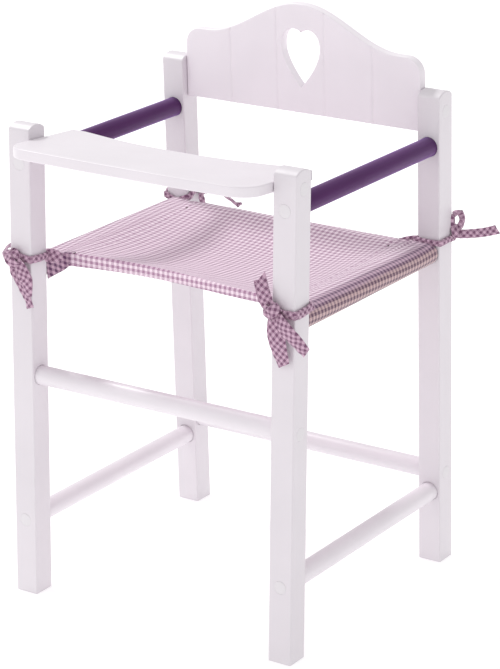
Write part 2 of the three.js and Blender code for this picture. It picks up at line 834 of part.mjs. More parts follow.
// The overall box runs from the tray's front edge to the heels of the rear feet
function centreOnBox() {
  const edgeY = (trayFrontReach + trayFrontBow) * Math.cos(trayTilt);
  const edgeLean = (boardThickness / 2 - boardBevel) * Math.sin(trayTilt);
  const frontY = pivotY - edgeY - edgeLean;
  chair.position.y = -(frontY + footDepth / 2) / 2;
}

addPosts();
addDowels();
addFasteners();
addBackBoard();
addTray();
addSeat();
addTies();
centreOnBox();

export default chair;
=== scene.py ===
# %% [markdown]
# # A doll high chair
# The chair is painted wood: four leaning posts, round rungs and arms, a planked back board with a
# heart, and a tray that turns on two screws. Its seat is a gingham sling, sewn round the two seat
# rails and tied to the posts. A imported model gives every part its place. This lesson keeps those
# places, makes each visible part again with finer edges and real folds, and gives it its finish.

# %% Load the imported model
import math

import bmesh
import bpy
from mathutils import Matrix, Vector, noise
from mathutils.geometry import tessellate_polygon


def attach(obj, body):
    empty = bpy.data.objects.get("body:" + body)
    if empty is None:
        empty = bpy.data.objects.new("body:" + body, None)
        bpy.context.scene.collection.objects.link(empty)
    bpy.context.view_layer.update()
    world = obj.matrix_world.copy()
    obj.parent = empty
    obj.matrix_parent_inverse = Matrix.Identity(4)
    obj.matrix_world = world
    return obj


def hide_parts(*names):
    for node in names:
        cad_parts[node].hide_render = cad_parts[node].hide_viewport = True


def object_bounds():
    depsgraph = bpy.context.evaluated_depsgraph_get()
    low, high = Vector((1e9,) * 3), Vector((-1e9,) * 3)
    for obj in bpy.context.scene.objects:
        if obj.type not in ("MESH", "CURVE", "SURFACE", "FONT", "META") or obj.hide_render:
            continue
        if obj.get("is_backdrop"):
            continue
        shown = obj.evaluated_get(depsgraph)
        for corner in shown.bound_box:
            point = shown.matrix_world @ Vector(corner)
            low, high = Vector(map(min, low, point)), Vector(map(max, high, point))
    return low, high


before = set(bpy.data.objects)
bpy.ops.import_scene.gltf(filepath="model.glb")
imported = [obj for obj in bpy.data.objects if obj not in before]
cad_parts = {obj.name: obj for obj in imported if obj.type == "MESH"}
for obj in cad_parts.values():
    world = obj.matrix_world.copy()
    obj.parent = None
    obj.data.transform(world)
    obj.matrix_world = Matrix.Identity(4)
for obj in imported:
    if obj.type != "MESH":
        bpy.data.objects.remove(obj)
model_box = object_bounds()

# %% [markdown]
# ## The camera
# A long lens far away gives the photograph its calm, nearly parallel lines. The camera turns about
# a point in the middle of the chair: so far round to the right, so far up, and a hair of roll.

# %% The camera
MM = 0.001
view_turn, view_rise, view_roll = (math.radians(angle) for angle in (33.706, 19.237, -0.533))
view_target = Vector((25.6, 0.445, 246.0)) * MM
view_distance = 2439.2 * MM
view_lens, film_width = 144.56, 36
near_clip, far_clip = 0.1, 100


def add_object(name, data):
    """Puts a mesh, a lamp or a camera into the scene."""
    made = bpy.data.objects.new(name, data)
    bpy.context.collection.objects.link(made)
    return made


def add_camera():
    """Turns a camera at the target, then backs it away."""
    data = bpy.data.cameras.new("camera")
    data.lens, data.sensor_width, data.sensor_fit = view_lens, film_width, "AUTO"
    data.clip_start, data.clip_end = near_clip, far_clip
    place = Matrix.Translation(view_target)
    for angle, axis in ((view_turn, "Z"), (math.pi / 2 - view_rise, "X"), (view_roll, "Z")):
        place = place @ Matrix.Rotation(angle, 4, axis)
    camera = add_object("camera", data)
    camera.matrix_world = place @ Matrix.Translation((0, 0, view_distance))
    bpy.context.scene.camera = camera
    return camera


camera = add_camera()
print("camera at", [round(c, 3) for c in camera.matrix_world.translation])

# %% [markdown]
# ## Sizes
# The parts repeat the chair's own sizes, in millimetres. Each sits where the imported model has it.

# %% Sizes shared by the wooden parts
row_shift = 13.443
frame_width, foot_depth, post_size = 303.2, 286.7, 23.2
lean_share = 0.03
lean = math.atan(lean_share)
post_half = post_size / 2
post_half_depth = post_half / math.cos(lean)
post_x, inner_x = frame_width / 2 - post_half, frame_width / 2 - post_size
dowel_radius, socket_depth, fit_gap = 9.0, 4.0, 0.3
arm_height, rail_height, side_rung_height = 410.4, 309.8, 71.7
front_rung_height, rear_rung_height = 212.0, 89.6
pivot_height, back_screw_height = 428.2, 442.5
post_tops = {"front": 445.5, "rear": 461.5}
sides, ends = {"left": -1, "right": 1}, {"front": -1, "rear": 1}


def post_axis_y(end, height):
    """Where the middle of a front (-1) or rear (1) post lies, front to rear, at a height."""
    return end * (foot_depth / 2 - post_half_depth - lean_share * height) + row_shift


rail_ends = [round(post_axis_y(end, rail_height), 2) for end in ends.values()]
print("the posts' middles at the seat rails: y =", rail_ends, "mm")

# %% [markdown]
# ## Making a piece
# Every piece is a mesh written in millimetres and kept in metres. It names the body it moves with
# and hides the imported solids it stands for. Edges sharper than a limit stay sharp, and the rest
# are shaded smooth.

# %% Helpers that turn points and faces into a piece
def new_mesh(name, points, faces):
    mesh = bpy.data.meshes.new(name)
    mesh.from_pydata([tuple(c * MM for c in p) for p in points], [], faces)
    return mesh


def finish_piece(piece, slot, sharp, body="frame", stands_for=()):
    piece.data.shade_smooth()
    piece.data.set_sharp_from_angle(angle=math.radians(sharp))
    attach(piece, body)
    if stands_for:
        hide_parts(*stands_for)
    return piece


def add_piece(name, points, faces, slot, sharp=40, flat=None, **links):
    """A piece of points and faces. flat says where each point lies on the flat cut cloth."""
    mesh = new_mesh(name, points, faces)
    if flat is not None:
        layer = mesh.uv_layers.new(name="cloth_cut")
        for loop in mesh.loops:
            layer.data[loop.index].uv = tuple(c * MM for c in flat[loop.vertex_index])
    mesh.validate()
    return finish_piece(add_object(name, mesh), slot, sharp, **links)


def keep_flats(piece):
    """Lets big flat faces look flat beside their bevels."""
    piece.modifiers.new("even shading", "WEIGHTED_NORMAL").keep_sharp = True


print("piece helpers ready")

# %% Helpers that build shapes out of rings
def full_turn(steps):
    return [2 * math.pi * k / steps for k in range(steps)]


def quarter_turn(steps):
    return [math.pi / 2 * k / steps for k in range(steps + 1)]


def band_faces(rings, count, start=0):
    """Faces between rings of points that follow each other from a start number."""
    faces = []
    for first in range(start, start + (rings - 1) * count, count):
        for k in range(count):
            a, b = first + k, first + (k + 1) % count
            faces.append((a, b, b + count, a + count))
    return faces


def tube_faces(rings, count):
    """Faces of a closed tube: its bands and both ends."""
    top = (rings - 1) * count
    return band_faces(rings, count) + [tuple(reversed(range(count))), tuple(range(top, top + count))]


def turned_shape(profile, facets, at, along):
    """A turned piece: its profile is (radius, height) pairs from one end to the other."""
    turn, spokes = Vector((0, 0, 1)).rotation_difference(along), full_turn(facets)
    points = [turn @ Vector((radius * math.cos(a), radius * math.sin(a), height)) + at
              for radius, height in profile for a in spokes]
    return points, tube_faces(len(profile), facets)


def joined(shapes):
    """Many shapes as one."""
    points, faces = [], []
    for more, corners in shapes:
        faces += [tuple(k + len(points) for k in face) for face in corners]
        points += more
    return points, faces


print("a tube of 2 rings of 6 points has", len(tube_faces(2, 6)), "faces")

# %% [markdown]
# ## Dowels
# The rungs, arms and seat rails are cut from 18 mm dowel. A dowel is a circle pushed along its
# axis, so it is turned on a lathe in code, with enough facets to look round close up.

# %% Rungs, arms and seat rails
dowel_facets, dowel_chamfer, chamfer_steps = 64, 0.8, 4


def dowel_profile(length):
    """A dowel's profile from end to end, its rims eased."""
    half, rim = length / 2, dowel_radius - dowel_chamfer
    steps = [(rim + dowel_chamfer * math.sin(a), half - dowel_chamfer * (1 - math.cos(a)))
             for a in quarter_turn(chamfer_steps)]
    return [(r, -h) for r, h in steps] + [(r, h) for r, h in reversed(steps)]


def add_dowel(name, middle, along, length, slot="white_paint"):
    shape = turned_shape(dowel_profile(length), dowel_facets, middle, along)
    return add_piece(f"{name}_dowel", *shape, slot, stands_for=[name], sharp=60)


def add_side_dowel(name, side, height, *slot):
    face = post_axis_y(1, height) - row_shift - post_half_depth
    middle = Vector((side * post_x, row_shift, height))
    return add_dowel(name, middle, Vector((0, 1, 0)), 2 * (face + socket_depth - fit_gap), *slot)


def add_cross_rung(end_name, height):
    middle = Vector((0, post_axis_y(ends[end_name], height), height))
    length = 2 * (inner_x + socket_depth - fit_gap)
    return add_dowel(f"{end_name}_rung", middle, Vector((1, 0, 0)), length)


arms, side_dowels = [], []
for side_name, side in sides.items():
    arms.append(add_side_dowel(f"{side_name}_armrest", side, arm_height, "purple_paint"))
    side_dowels.append(add_side_dowel(f"{side_name}_seat_rail", side, rail_height))
    side_dowels.append(add_side_dowel(f"{side_name}_side_rung", side, side_rung_height))
cross_dowels = [add_cross_rung("front", front_rung_height), add_cross_rung("rear", rear_rung_height)]
print("dowels:", len(arms + side_dowels + cross_dowels))

# %% [markdown]
# ## Posts
# Each post is a square bar, planed with eased edges, arched over at the top and sawn level at the
# foot. It is drawn from the side, given its width, and bevelled, because a bevel catches the light
# along every edge as the real one does. Its holes are cut last: a wide one for each cap, a socket
# for each dowel and a bore for each screw. The joints are square to the chair, not to the leaning
# post, so the cutters are placed after the post has been leant.

# %% The bar of a post
arch_rise, arch_steps = 4.5, 20
post_edge, edge_rounds = 1.9, 4
sharp_corner = 30
overrun = 5.0


def editable(points, faces):
    """A mesh that can be cut and bevelled."""
    made = bmesh.new()
    corners = [made.verts.new(p) for p in points]
    for face in faces:
        made.faces.new([corners[k] for k in face])
    return made


def cut_along(made, at, out, **settings):
    """Cuts an editable mesh along a plane."""
    everything = made.verts[:] + made.edges[:] + made.faces[:]
    return bmesh.ops.bisect_plane(made, geom=everything, plane_co=at, plane_no=out, **settings)


def arched_outline(length):
    """The side view of an upright bar as (y, z) points: plain below, arched at the top."""
    radius = (post_half**2 + arch_rise**2) / (2 * arch_rise)
    widest = math.asin(post_half / radius)
    turns = [widest * (1 - 2 * k / arch_steps) for k in range(arch_steps + 1)]
    arch = [(radius * math.sin(t), length - radius + radius * math.cos(t)) for t in turns]
    return [(-post_half, -overrun), (post_half, -overrun)] + arch


def bevelled_bar(outline):
    """The outline pushed across the width of the post."""
    points = [(x, y, z) for x in (-post_half, post_half) for y, z in outline]
    count = len(outline)
    faces = [tuple(range(count)), tuple(reversed(range(count, 2 * count)))]
    faces += [(b, a, a + count, b + count) for a, b in ((k, (k + 1) % count) for k in range(count))]
    bar = editable(points, faces)
    bmesh.ops.recalc_face_normals(bar, faces=bar.faces)
    sharp = [e for e in bar.edges if e.calc_face_angle() > math.radians(sharp_corner)]
    bmesh.ops.bevel(bar, geom=sharp, offset=post_edge, segments=edge_rounds, profile=0.5,
                    affect="EDGES", clamp_overlap=True)
    return bar


def lean_and_saw(bar, side, end):
    """Leans the bar about its foot and saws the foot level with the floor."""
    foot = Matrix.Translation((side * post_x, post_axis_y(end, 0), 0))
    bmesh.ops.transform(bar, matrix=foot @ Matrix.Rotation(end * lean, 4, "X"), verts=bar.verts)
    cut = cut_along(bar, (0, 0, 0), (0, 0, 1), clear_inner=True)
    rim = [e for e in cut["geom_cut"] if isinstance(e, bmesh.types.BMEdge)]
    bmesh.ops.holes_fill(bar, edges=rim)


print("post bevel:", post_edge, "mm in", edge_rounds, "steps")

# %% The holes of a post
cap_radius, cap_thickness, cap_proud, cap_gap = 6.0, 2.6, 0.25, 0.06
head_height, shank_radius = 2.6, 2.0
counterbore_depth = fit_gap + head_height + fit_gap + cap_thickness - cap_proud
bore_facets, cap_facets, socket_facets = 16, 48, 64


def post_joints(end_name):
    """The joints of a post: name, axis of the screw, height, and whether a dowel ends there."""
    front = end_name == "front"
    board, board_height = ("tray", pivot_height) if front else ("back_board", back_screw_height)
    rung_height = front_rung_height if front else rear_rung_height
    return [("arm", "y", arm_height, True), ("rail", "y", rail_height, True),
            ("side_rung", "y", side_rung_height, True), ("rung", "x", rung_height, True),
            (board, "x", board_height, False)]


def joint_line(side, end, along, height):
    """A joint's middle, its way out and how far off the post's face is."""
    middle = Vector((side * post_x, post_axis_y(end, height), height))
    if along == "x":
        return middle, Vector((side, 0, 0)), post_half
    return middle, Vector((0, end, 0)), post_half_depth


def hole_shapes(side, end, end_name):
    """Cutters for all holes of a post, each a cylinder."""
    shapes = []
    for _, along, height, has_dowel in post_joints(end_name):
        middle, out, half = joint_line(side, end, along, height)
        reach = half + overrun
        wants = [(shank_radius + fit_gap, -reach, reach, bore_facets),
                 (cap_radius + cap_gap, half - counterbore_depth, reach, cap_facets)]
        if has_dowel:
            wants.append((dowel_radius + fit_gap, -reach, socket_depth - half, socket_facets))
        for radius, start, stop, facets in wants:
            shapes.append(turned_shape([(radius, start), (radius, stop)], facets, middle, out))
    return shapes


def cut_with(piece, shapes):
    """Cuts closed shapes out of a piece, one boolean for each, and keeps the result as its mesh."""
    cutters = [add_object("cutter", new_mesh("cutter", *shape)) for shape in shapes]
    for cutter in cutters:
        modifier = piece.modifiers.new("cut", "BOOLEAN")
        modifier.operation, modifier.solver, modifier.object = "DIFFERENCE", "EXACT", cutter
    result = piece.evaluated_get(bpy.context.evaluated_depsgraph_get())
    cut = bpy.data.meshes.new_from_object(result)
    piece.modifiers.clear()
    piece.data = cut
    for cutter in cutters:
        bpy.data.objects.remove(cutter, do_unlink=True)


print("counterbore depth:", round(counterbore_depth, 2), "mm")

# %% The four posts
def add_post(side_name, end_name):
    side, end = sides[side_name], ends[end_name]
    node = f"{end_name}_{side_name}_post"
    bar = bevelled_bar(arched_outline(post_tops[end_name] / math.cos(lean)))
    lean_and_saw(bar, side, end)
    bmesh.ops.scale(bar, vec=(MM, MM, MM), verts=bar.verts)
    mesh = bpy.data.meshes.new(f"{node}_bar")
    bar.to_mesh(mesh)
    bar.free()
    post = add_object(f"{node}_bar", mesh)
    cut_with(post, hole_shapes(side, end, end_name))
    keep_flats(post)
    return finish_piece(post, "white_paint", sharp_corner, stands_for=[node])


posts = [add_post(side_name, end_name) for end_name in ends for side_name in sides]
print("post faces:", [len(p.data.polygons) for p in posts])

# %% [markdown]
# ## Caps
# A domed plastic cap hides each screw. It stands a quarter of a millimetre proud, so its rim throws
# the faint oval line that shows on every post.

# %% The screw caps
cap_rim, rim_rise_share, dome_fall_share = 0.35, 0.6, 0.4
dome_shares = (0.6, 0.35, 0.15)


def cap_profile():
    """A cap from its flat back over its rim to the top of its dome."""
    edge = cap_thickness - cap_proud
    rim = [(cap_radius - cap_rim * (1 - math.cos(a)), edge + rim_rise_share * cap_proud * math.sin(a))
           for a in quarter_turn(chamfer_steps)]
    dome = [(cap_radius * share, cap_thickness - dome_fall_share * cap_proud * share**2)
            for share in dome_shares]
    return [(cap_radius, 0.0)] + rim + dome


def add_cap(side_name, end_name, joint):
    name, along, height, _ = joint
    middle, out, half = joint_line(sides[side_name], ends[end_name], along, height)
    seat = middle + out * (half - counterbore_depth + 2 * fit_gap + head_height)
    node = f"{end_name}_{side_name}_{name}_cap"
    shape = turned_shape(cap_profile(), cap_facets, seat, out)
    return add_piece(f"{node}_dome", *shape, "cap_plastic", stands_for=[node], sharp=50)


caps = [add_cap(s, e, joint) for e in ends for s in sides for joint in post_joints(e)]
print("caps:", len(caps))

# %% [markdown]
# ## Boards
# The back board and the tray are cut from the same board. A board is an outline with a thickness,
# and its rims are sanded round. The outline is shrunk step by step towards both faces to make that
# round, which keeps the curve even along the crown, the corners and the heart.

# %% A board from its outline
board_thickness, board_edge = 9.5, 1.3


def normals_of(loop):
    """The outward direction at each point of a closed outline that runs anticlockwise."""
    found = []
    for k, point in enumerate(loop):
        before, after = loop[k - 1], loop[(k + 1) % len(loop)]
        step = (point - before).normalized() + (after - point).normalized()
        found.append(Vector((step.y, -step.x)).normalized())
    return found


def flat_faces(points, rings, upward):
    """Triangles that fill a ring around its holes. Each ring is (outline, its first number)."""
    numbers = [first + k for ring, first in rings for k in range(len(ring))]
    faces = []
    for corners in tessellate_polygon([[Vector((p.x, p.y, 0)) for p in ring] for ring, _ in rings]):
        a, b, c = (numbers[k] for k in corners)
        up = (points[b] - points[a]).cross(points[c] - points[a]).z > 0
        faces.append((a, b, c) if up == upward else (a, c, b))
    return faces


def board_shape(loops):
    """A board with rounded rims. The first loop is its edge, the rest are holes."""
    half = board_thickness / 2
    levels = [(board_edge * (1 - math.sin(a)), half - board_edge * (1 - math.cos(a)))
              for a in quarter_turn(edge_rounds)]
    levels += [(inset, -height) for inset, height in reversed(levels)]
    points, faces, top, bottom = [], [], [], []
    for loop in loops:
        start, outward = len(points), normals_of(loop)
        rings = [[p - n * inset for p, n in zip(loop, outward)] for inset, _ in levels]
        points += [Vector((p.x, p.y, height)) for ring, (_, height) in zip(rings, levels) for p in ring]
        faces += [face[::-1] for face in band_faces(len(levels), len(loop), start)]
        top.append((rings[0], start))
        bottom.append((rings[-1], len(points) - len(loop)))
    return points, faces + flat_faces(points, top, True) + flat_faces(points, bottom, False)


def arc(centre, radius, start, stop, steps):
    """Points of an arc in degrees."""
    turns = [math.radians(start + (stop - start) * k / steps) for k in range(steps + 1)]
    return [Vector(centre) + radius * Vector((math.cos(t), math.sin(t))) for t in turns]


def curve(corners, steps):
    """Points of a Bezier curve through three or four control points, without its first point."""
    found = []
    for k in range(1, steps + 1):
        level, share = [Vector(c) for c in corners], k / steps
        while len(level) > 1:
            level = [a.lerp(b, share) for a, b in zip(level, level[1:])]
        found.append(level[0])
    return found


print("board:", board_thickness, "mm thick, rims rounded to", board_edge, "mm")

# %% The back board
back_bottom, back_shoulder, back_crown = 421.5, 489.0, 525.0
crown_half, shoulder_radius = 104.0, 16.0
crown_steps, shoulder_steps, heart_steps = 80, 12, 20
plank_width, groove_width, groove_depth = 51.6, 3.0, 0.8
heart_half, heart_tip, heart_waist, heart_notch, heart_lobe = 20.3, 446.4, 484.0, 497.9, 503.2
heart_shift, lobe_share, flare_share = 0.6, 0.23, 0.42


def back_edge():
    """The back board's edge, as points of x and height."""
    half = inner_x - fit_gap
    arc_x, arc_z = half - shoulder_radius, back_shoulder - shoulder_radius
    edge = [Vector((x, back_bottom)) for x in (-half, -half / 2, 0, half / 2, half)]
    edge += arc((arc_x, arc_z), shoulder_radius, 0, 90, shoulder_steps)
    for k in range(crown_steps + 1):
        share = 1 - 2 * k / crown_steps
        rise = (back_crown - back_shoulder) * (1 + math.cos(math.pi * share)) / 2
        edge.append(Vector((crown_half * share, back_shoulder + rise)))
    return edge + arc((-arc_x, arc_z), shoulder_radius, 90, 180, shoulder_steps)


def heart_loop():
    """The heart: a lobe and a flank on the right, mirrored to the left."""
    wide, tall = heart_half, heart_waist - heart_tip
    lobe = [(0, heart_notch), (lobe_share * wide, heart_lobe), (wide, heart_lobe), (wide, heart_waist)]
    flank = [(wide, heart_waist), (wide, heart_waist - tall / 3),
             (flare_share * wide, heart_tip + tall / 4), (0, heart_tip)]
    heart = curve(lobe, heart_steps) + curve(flank, heart_steps)
    heart += [Vector((-p.x, p.y)) for p in reversed(heart[:-1])] + [Vector((0, heart_notch))]
    return [p + Vector((heart_shift, 0)) for p in heart]


def score_planks(points, faces):
    """Scores a V between the planks: three cuts through the mesh, the middle one pressed in."""
    planks = editable(points, faces)
    for share in (-1.5, -0.5, 0.5, 1.5):
        middle = share * plank_width
        for x in (middle - groove_width / 2, middle, middle + groove_width / 2):
            cut_along(planks, (x, 0, 0), (1, 0, 0))
        for corner in planks.verts:
            if abs(corner.co.x - middle) < 0.01:
                corner.co.y = max(corner.co.y, groove_depth - board_thickness / 2)
    planks.verts.index_update()
    return [v.co.copy() for v in planks.verts], [[v.index for v in f.verts] for f in planks.faces]


def on_back(point):
    """Leans a point of the upright back board with the rear posts, about the line of its screws."""
    at = Vector((0, post_axis_y(1, back_screw_height), back_screw_height))
    return Matrix.Rotation(lean, 3, "X") @ (point - Vector((0, 0, back_screw_height))) + at


points, faces = board_shape([back_edge(), heart_loop()])
points, faces = score_planks([Vector((p.x, -p.z, p.y)) for p in points], faces)
back_board = add_piece("back_board_planks", [on_back(p) for p in points], faces, "white_paint",
                       stands_for=["back_board"], sharp=sharp_corner)
keep_flats(back_board)
print("back board faces:", len(back_board.data.polygons))

# %% [markdown]
# ## The tray
# The tray is a plain board with round front corners and a hollow for the doll's tummy. It tilts a
# little to the back and rides on its own body, because it turns on its two screws.

# %% The tray
tray_tilt = math.radians(4)
tray_gap = 0.6
front_reach, front_bow, rear_reach = 49.0, 2.2, 51.4
hollow_depth, hollow_half = 16.0, 113.0
front_corner, rear_corner = 22.0, 1.8
near_share, far_share, dip_share = 0.8, 0.55, 0.3
front_steps, corner_steps, rear_corner_steps, hollow_steps = 24, 16, 8, 20


def tray_loop():
    """The tray's edge from above, with its pivot line at y = 0."""
    half = inner_x - tray_gap
    fx, fy = half - front_corner, front_corner - front_reach
    rx, ry = half - rear_corner, rear_reach - rear_corner
    near = (near_share * hollow_half, rear_reach - dip_share * hollow_depth)
    far, floor_y = far_share * hollow_half, rear_reach - hollow_depth
    right = [(hollow_half, rear_reach), near, (far, floor_y), (0, floor_y)]
    left = [(-x, y) for x, y in reversed(right)]
    front = [(-fx, -front_reach), (0, -front_reach - 2 * front_bow), (fx, -front_reach)]
    edge = [Vector(front[0])] + curve(front, front_steps)
    edge += arc((fx, fy), front_corner, -90, 0, corner_steps)[1:]
    edge += arc((rx, ry), rear_corner, 0, 90, rear_corner_steps) + [Vector(right[0])]
    edge += curve(right, hollow_steps) + curve(left, hollow_steps)
    edge += arc((-rx, ry), rear_corner, 90, 180, rear_corner_steps)
    return edge + arc((-fx, fy), front_corner, 180, 270, corner_steps)[:-1]


points, faces = board_shape([tray_loop()])
tilt = Matrix.Rotation(-tray_tilt, 3, "X")
pivot = Vector((0, post_axis_y(-1, pivot_height), pivot_height))
tray = add_piece("tray_board", [tilt @ p + pivot for p in points], faces, "white_paint",
                 body="tray", stands_for=["tray"], sharp=sharp_corner)
keep_flats(tray)
print("tray faces:", len(tray.data.polygons), "pivot:", [round(c, 2) for c in pivot])

# %% [markdown]
# ## The sling seat
# The seat is one cloth. It starts at a stitch line under the seat, wraps the left rail, crosses to
# the right rail, wraps it and is stitched back. A cloth simulation would settle into folds of its
# own. The real seat is stretched tight and shows a few clear shapes, so they are modelled: a bowl
# that is lowest left of the middle, a hem that hangs at the front, puckers at the seams and creases
# that run from the tied corners. The cloth is a grid: its columns go round the section and its
# rows go from the front hem to the rear one.

# %% The section of the sling, from one stitch line to the other
cloth_thickness, casing_ease = 0.9, 0.6
casing_radius = dowel_radius + fit_gap + casing_ease
stitch_inset, flap_drop = 28.0, 1.5
stitch_x = post_x - stitch_inset
casing_steps, flap_steps, seat_columns = 26, 8, 120


def casing_section():
    """The right casing: from the crown of the cloth round the rail and along to the stitch."""
    lift = casing_radius - flap_drop
    reach = math.hypot(stitch_inset, lift)
    sweep = 2 * math.pi - math.atan2(stitch_inset, lift) - math.acos(casing_radius / reach)
    turns = [sweep * k / casing_steps for k in range(casing_steps + 1)]
    section = [(post_x + casing_radius * math.sin(t), casing_radius * math.cos(t), 0.0) for t in turns]
    x0, z0, _ = section[-1]
    for k in range(1, flap_steps + 1):
        share = k / flap_steps
        section.append((x0 + (stitch_x - x0) * share, z0 + (lift - z0) * share, share))
    return section


def sling_section():
    """All columns as (x, z over the rail, share of the seat's sag, is it the seat's own top)."""
    right = [(x, z, flap, False) for x, z, flap in casing_section()]
    left = [(-x, *rest) for x, *rest in reversed(right)]
    top = [post_x * (2 * k / seat_columns - 1) for k in range(1, seat_columns)]
    return left + [(x, casing_radius, 1.0, True) for x in top] + right


section = sling_section()
print("columns:", len(section), "stitch lines at", round(stitch_x, 2), "mm")

# %% The bowl
cloth_gap = 0.6
rear_edge_y = post_axis_y(1, rail_height) - row_shift - post_half_depth - cloth_gap
seat_sag, rear_rim = 14.4, 9.0
bowl_x, bowl_y = -24.0, 9.0
left_bend, right_bend, front_bend, rear_bend = 1.85, 4.2, 2.65, 1.95


def clamp(value, low=0.0, high=1.0):
    return min(max(value, low), high)


def ease(value, low, high):
    """Runs smoothly from 0 at low to 1 at high."""
    share = clamp((value - low) / (high - low))
    return share * share * (3 - 2 * share)


def seat_drop(x, y, front, rear):
    """How far the seat hangs below the rails at a place: a bowl, lowest left of the middle."""
    side_x, side_bend = (-inner_x, left_bend) if x < bowl_x else (inner_x, right_bend)
    end_y, end_bend = (front, front_bend) if y < bowl_y else (rear - rear_rim, rear_bend)
    aside, along = clamp((x - bowl_x) / (side_x - bowl_x)), clamp((y - bowl_y) / (end_y - bowl_y))
    return seat_sag * (1 - aside**side_bend) * (1 - along**end_bend)


print("seat sag:", seat_sag, "mm")

# %% [markdown]
# Small folds lie on the bowl: slow waves, puckers and a dip along the stitch lines, and pulls that
# fan out from the tied corners. Each has a height and a size, so each can be set by itself.

# %% The creases
slow_wave, slow_width, slow_length = 0.5, 38, 46
fine_wave, fine_width = 0.12, 9
pucker_height, pucker_reach, pucker_pitch, pucker_drift = 0.22, 5, 8.5, 20
dip_depth, dip_reach = 0.35, 1.6
pull_height, pull_reach, pull_count, pull_start = 0.9, 26, 9, 8


def pull(x, y, side, end):
    """The folds that run from one tied corner."""
    dx, dy = (side * inner_x - x) * side, (end * rear_edge_y - y) * end
    far, around = math.hypot(dx, dy), math.atan2(dy, max(dx, 0.01))
    fan = math.sin(pull_count * around + 1.3 * side + end)
    return pull_height * math.exp(-far / pull_reach) * fan * ease(far, 0, pull_start)


def crease(x, y):
    """All small folds at a place of the seat."""
    height = slow_wave * noise.noise(Vector((x / slow_width, y / slow_length, 1.7)))
    height += fine_wave * noise.noise(Vector((x / fine_width, y / fine_width, 5.1)))
    for side in sides.values():
        off = x - side * stitch_x
        drift = 2 * noise.noise(Vector((0, y / pucker_drift, side)))
        pucker = math.exp(-((off / pucker_reach) ** 2)) * math.sin(2 * math.pi * y / pucker_pitch + drift)
        height += pucker_height * pucker - dip_depth * math.exp(-((off / dip_reach) ** 2))
        height += sum(pull(x, y, side, end) for end in ends.values())
    return height


print("crease in the middle:", round(crease(0, 0), 2), "mm")

# %% The grid of the sling
left_hem_drop, right_hem_drop, corner_drop = 11.7, 6.3, 21.0
corner_start, corner_span, corner_run = 10, 11, 6.0
hem_setback, hem_bow, hem_bow_centre, hem_bow_reach = 12.0, 14.0, -45.0, 160.0
rear_setback, hem_fold, hem_gap, hem_calm = 4.0, 1.6, 1.2, 8
fold_rows, hem_rows, seat_rows = 5, 8, 100
wrapped_crease_share = 0.35


def hem_drop_at(x):
    """The front hem hangs a little, and further where it closes the end of the left casing."""
    plain = left_hem_drop + (right_hem_drop - left_hem_drop) * (x / inner_x + 1) / 2
    return plain + (corner_drop - plain) * clamp((-x - inner_x + corner_start) / corner_span)


def edge_places(x, on_top):
    """Where a column's front fold and rear edge lie."""
    wide = abs(x)
    inboard = 1 - ease(wide, inner_x - corner_run, inner_x)
    bow = (1 + math.cos(math.pi * clamp((x - hem_bow_centre) / hem_bow_reach, -1))) / 2
    behind = 0.0 if on_top or wide > inner_x else 2 * hem_fold + hem_gap
    front = -rear_edge_y + inboard * (hem_setback + hem_bow * bow) + behind
    return front, rear_edge_y - inboard * rear_setback


def column_points(x, z, sag, on_top):
    """One column from the foot of its front hem over the fold to its rear edge."""
    front, rear = edge_places(x, on_top)
    start, drop, hemmed = front + hem_fold, hem_drop_at(x), on_top and abs(x) <= inner_x
    spots = [(front, hem_fold + (drop - hem_fold) * (1 - k / hem_rows)) for k in range(hem_rows)]
    spots += [(front + hem_fold * (1 - math.cos(a)), hem_fold * (1 - math.sin(a)))
              for a in quarter_turn(fold_rows)[:-1]]
    spots += [(start + (rear - start) * k / seat_rows, 0.0) for k in range(seat_rows + 1)]
    column = []
    for k, (y, fall) in enumerate(spots):
        crease_share = 1.0 if on_top else wrapped_crease_share
        if hemmed:
            crease_share *= ease(y, front, front + hem_calm)
        else:
            y, fall = front + (y - front) * ease(k, 0, hem_rows + fold_rows), 0.0
        low = sag * seat_drop(x, y, start, rear) + fall
        column.append(Vector((x, y + row_shift, rail_height + z - low + crease(x, y) * crease_share)))
    return column


grid = [column_points(*column) for column in section]
print("grid:", len(grid), "columns of", len(grid[0]), "points")

# %% [markdown]
# The flat cloth is found by walking over the grid: along each row for the width, and along each
# column for the length. The gingham is woven on that flat cloth, so its checks stay square and
# follow every fold.

# %% The cloth piece
def walk(points):
    """How far along a line of points each of them lies."""
    places = [0.0]
    for a, b in zip(points, points[1:]):
        places.append(places[-1] + (b - a).length)
    return places


columns, rows = len(grid), len(grid[0])
widths = [walk([column[j] for column in grid]) for j in range(rows)]
lengths = [walk(column) for column in grid]
across, half_cut = widths[rows // 2], widths[rows // 2][columns // 2]
flat = [(widths[j][i] - widths[j][columns // 2] + half_cut, lengths[i][j] - lengths[i][rows // 2])
        for i in range(columns) for j in range(rows)]
faces = [(i * rows + j, (i + 1) * rows + j, (i + 1) * rows + j + 1, i * rows + j + 1)
         for i in range(columns - 1) for j in range(rows - 1)]
sling = add_piece("gingham_sling", [p for column in grid for p in column], faces, "gingham",
                  stands_for=["seat_sling"], sharp=180, flat=flat)
skin = sling.modifiers.new("cloth thickness", "SOLIDIFY")
skin.thickness, skin.offset = cloth_thickness * MM, 0

# %% [markdown]
# Light comes through the thin seat, but not where a rail or folded layers lie behind it; there the
# cloth is painted deeper, as painted shade. Each point of the cloth keeps two numbers that its
# material reads: how much of that light is stopped, which sets the painted shade, and whether the
# point lies on the underside of a casing, which is painted darker as painted shade.

# %% Marks on the cloth
right_backing, left_backing = (post_x - 1, post_x + 5), (post_x + 5, post_x + 11)
hem_backing, hem_backing_rows = (inner_x - 13, inner_x - 9), (hem_rows + 4, hem_rows + 11)
tie_backing, tie_backing_share, row_pitch = (12, 24), 0.5, 2.1
underside = (post_x + 10, post_x + 15)


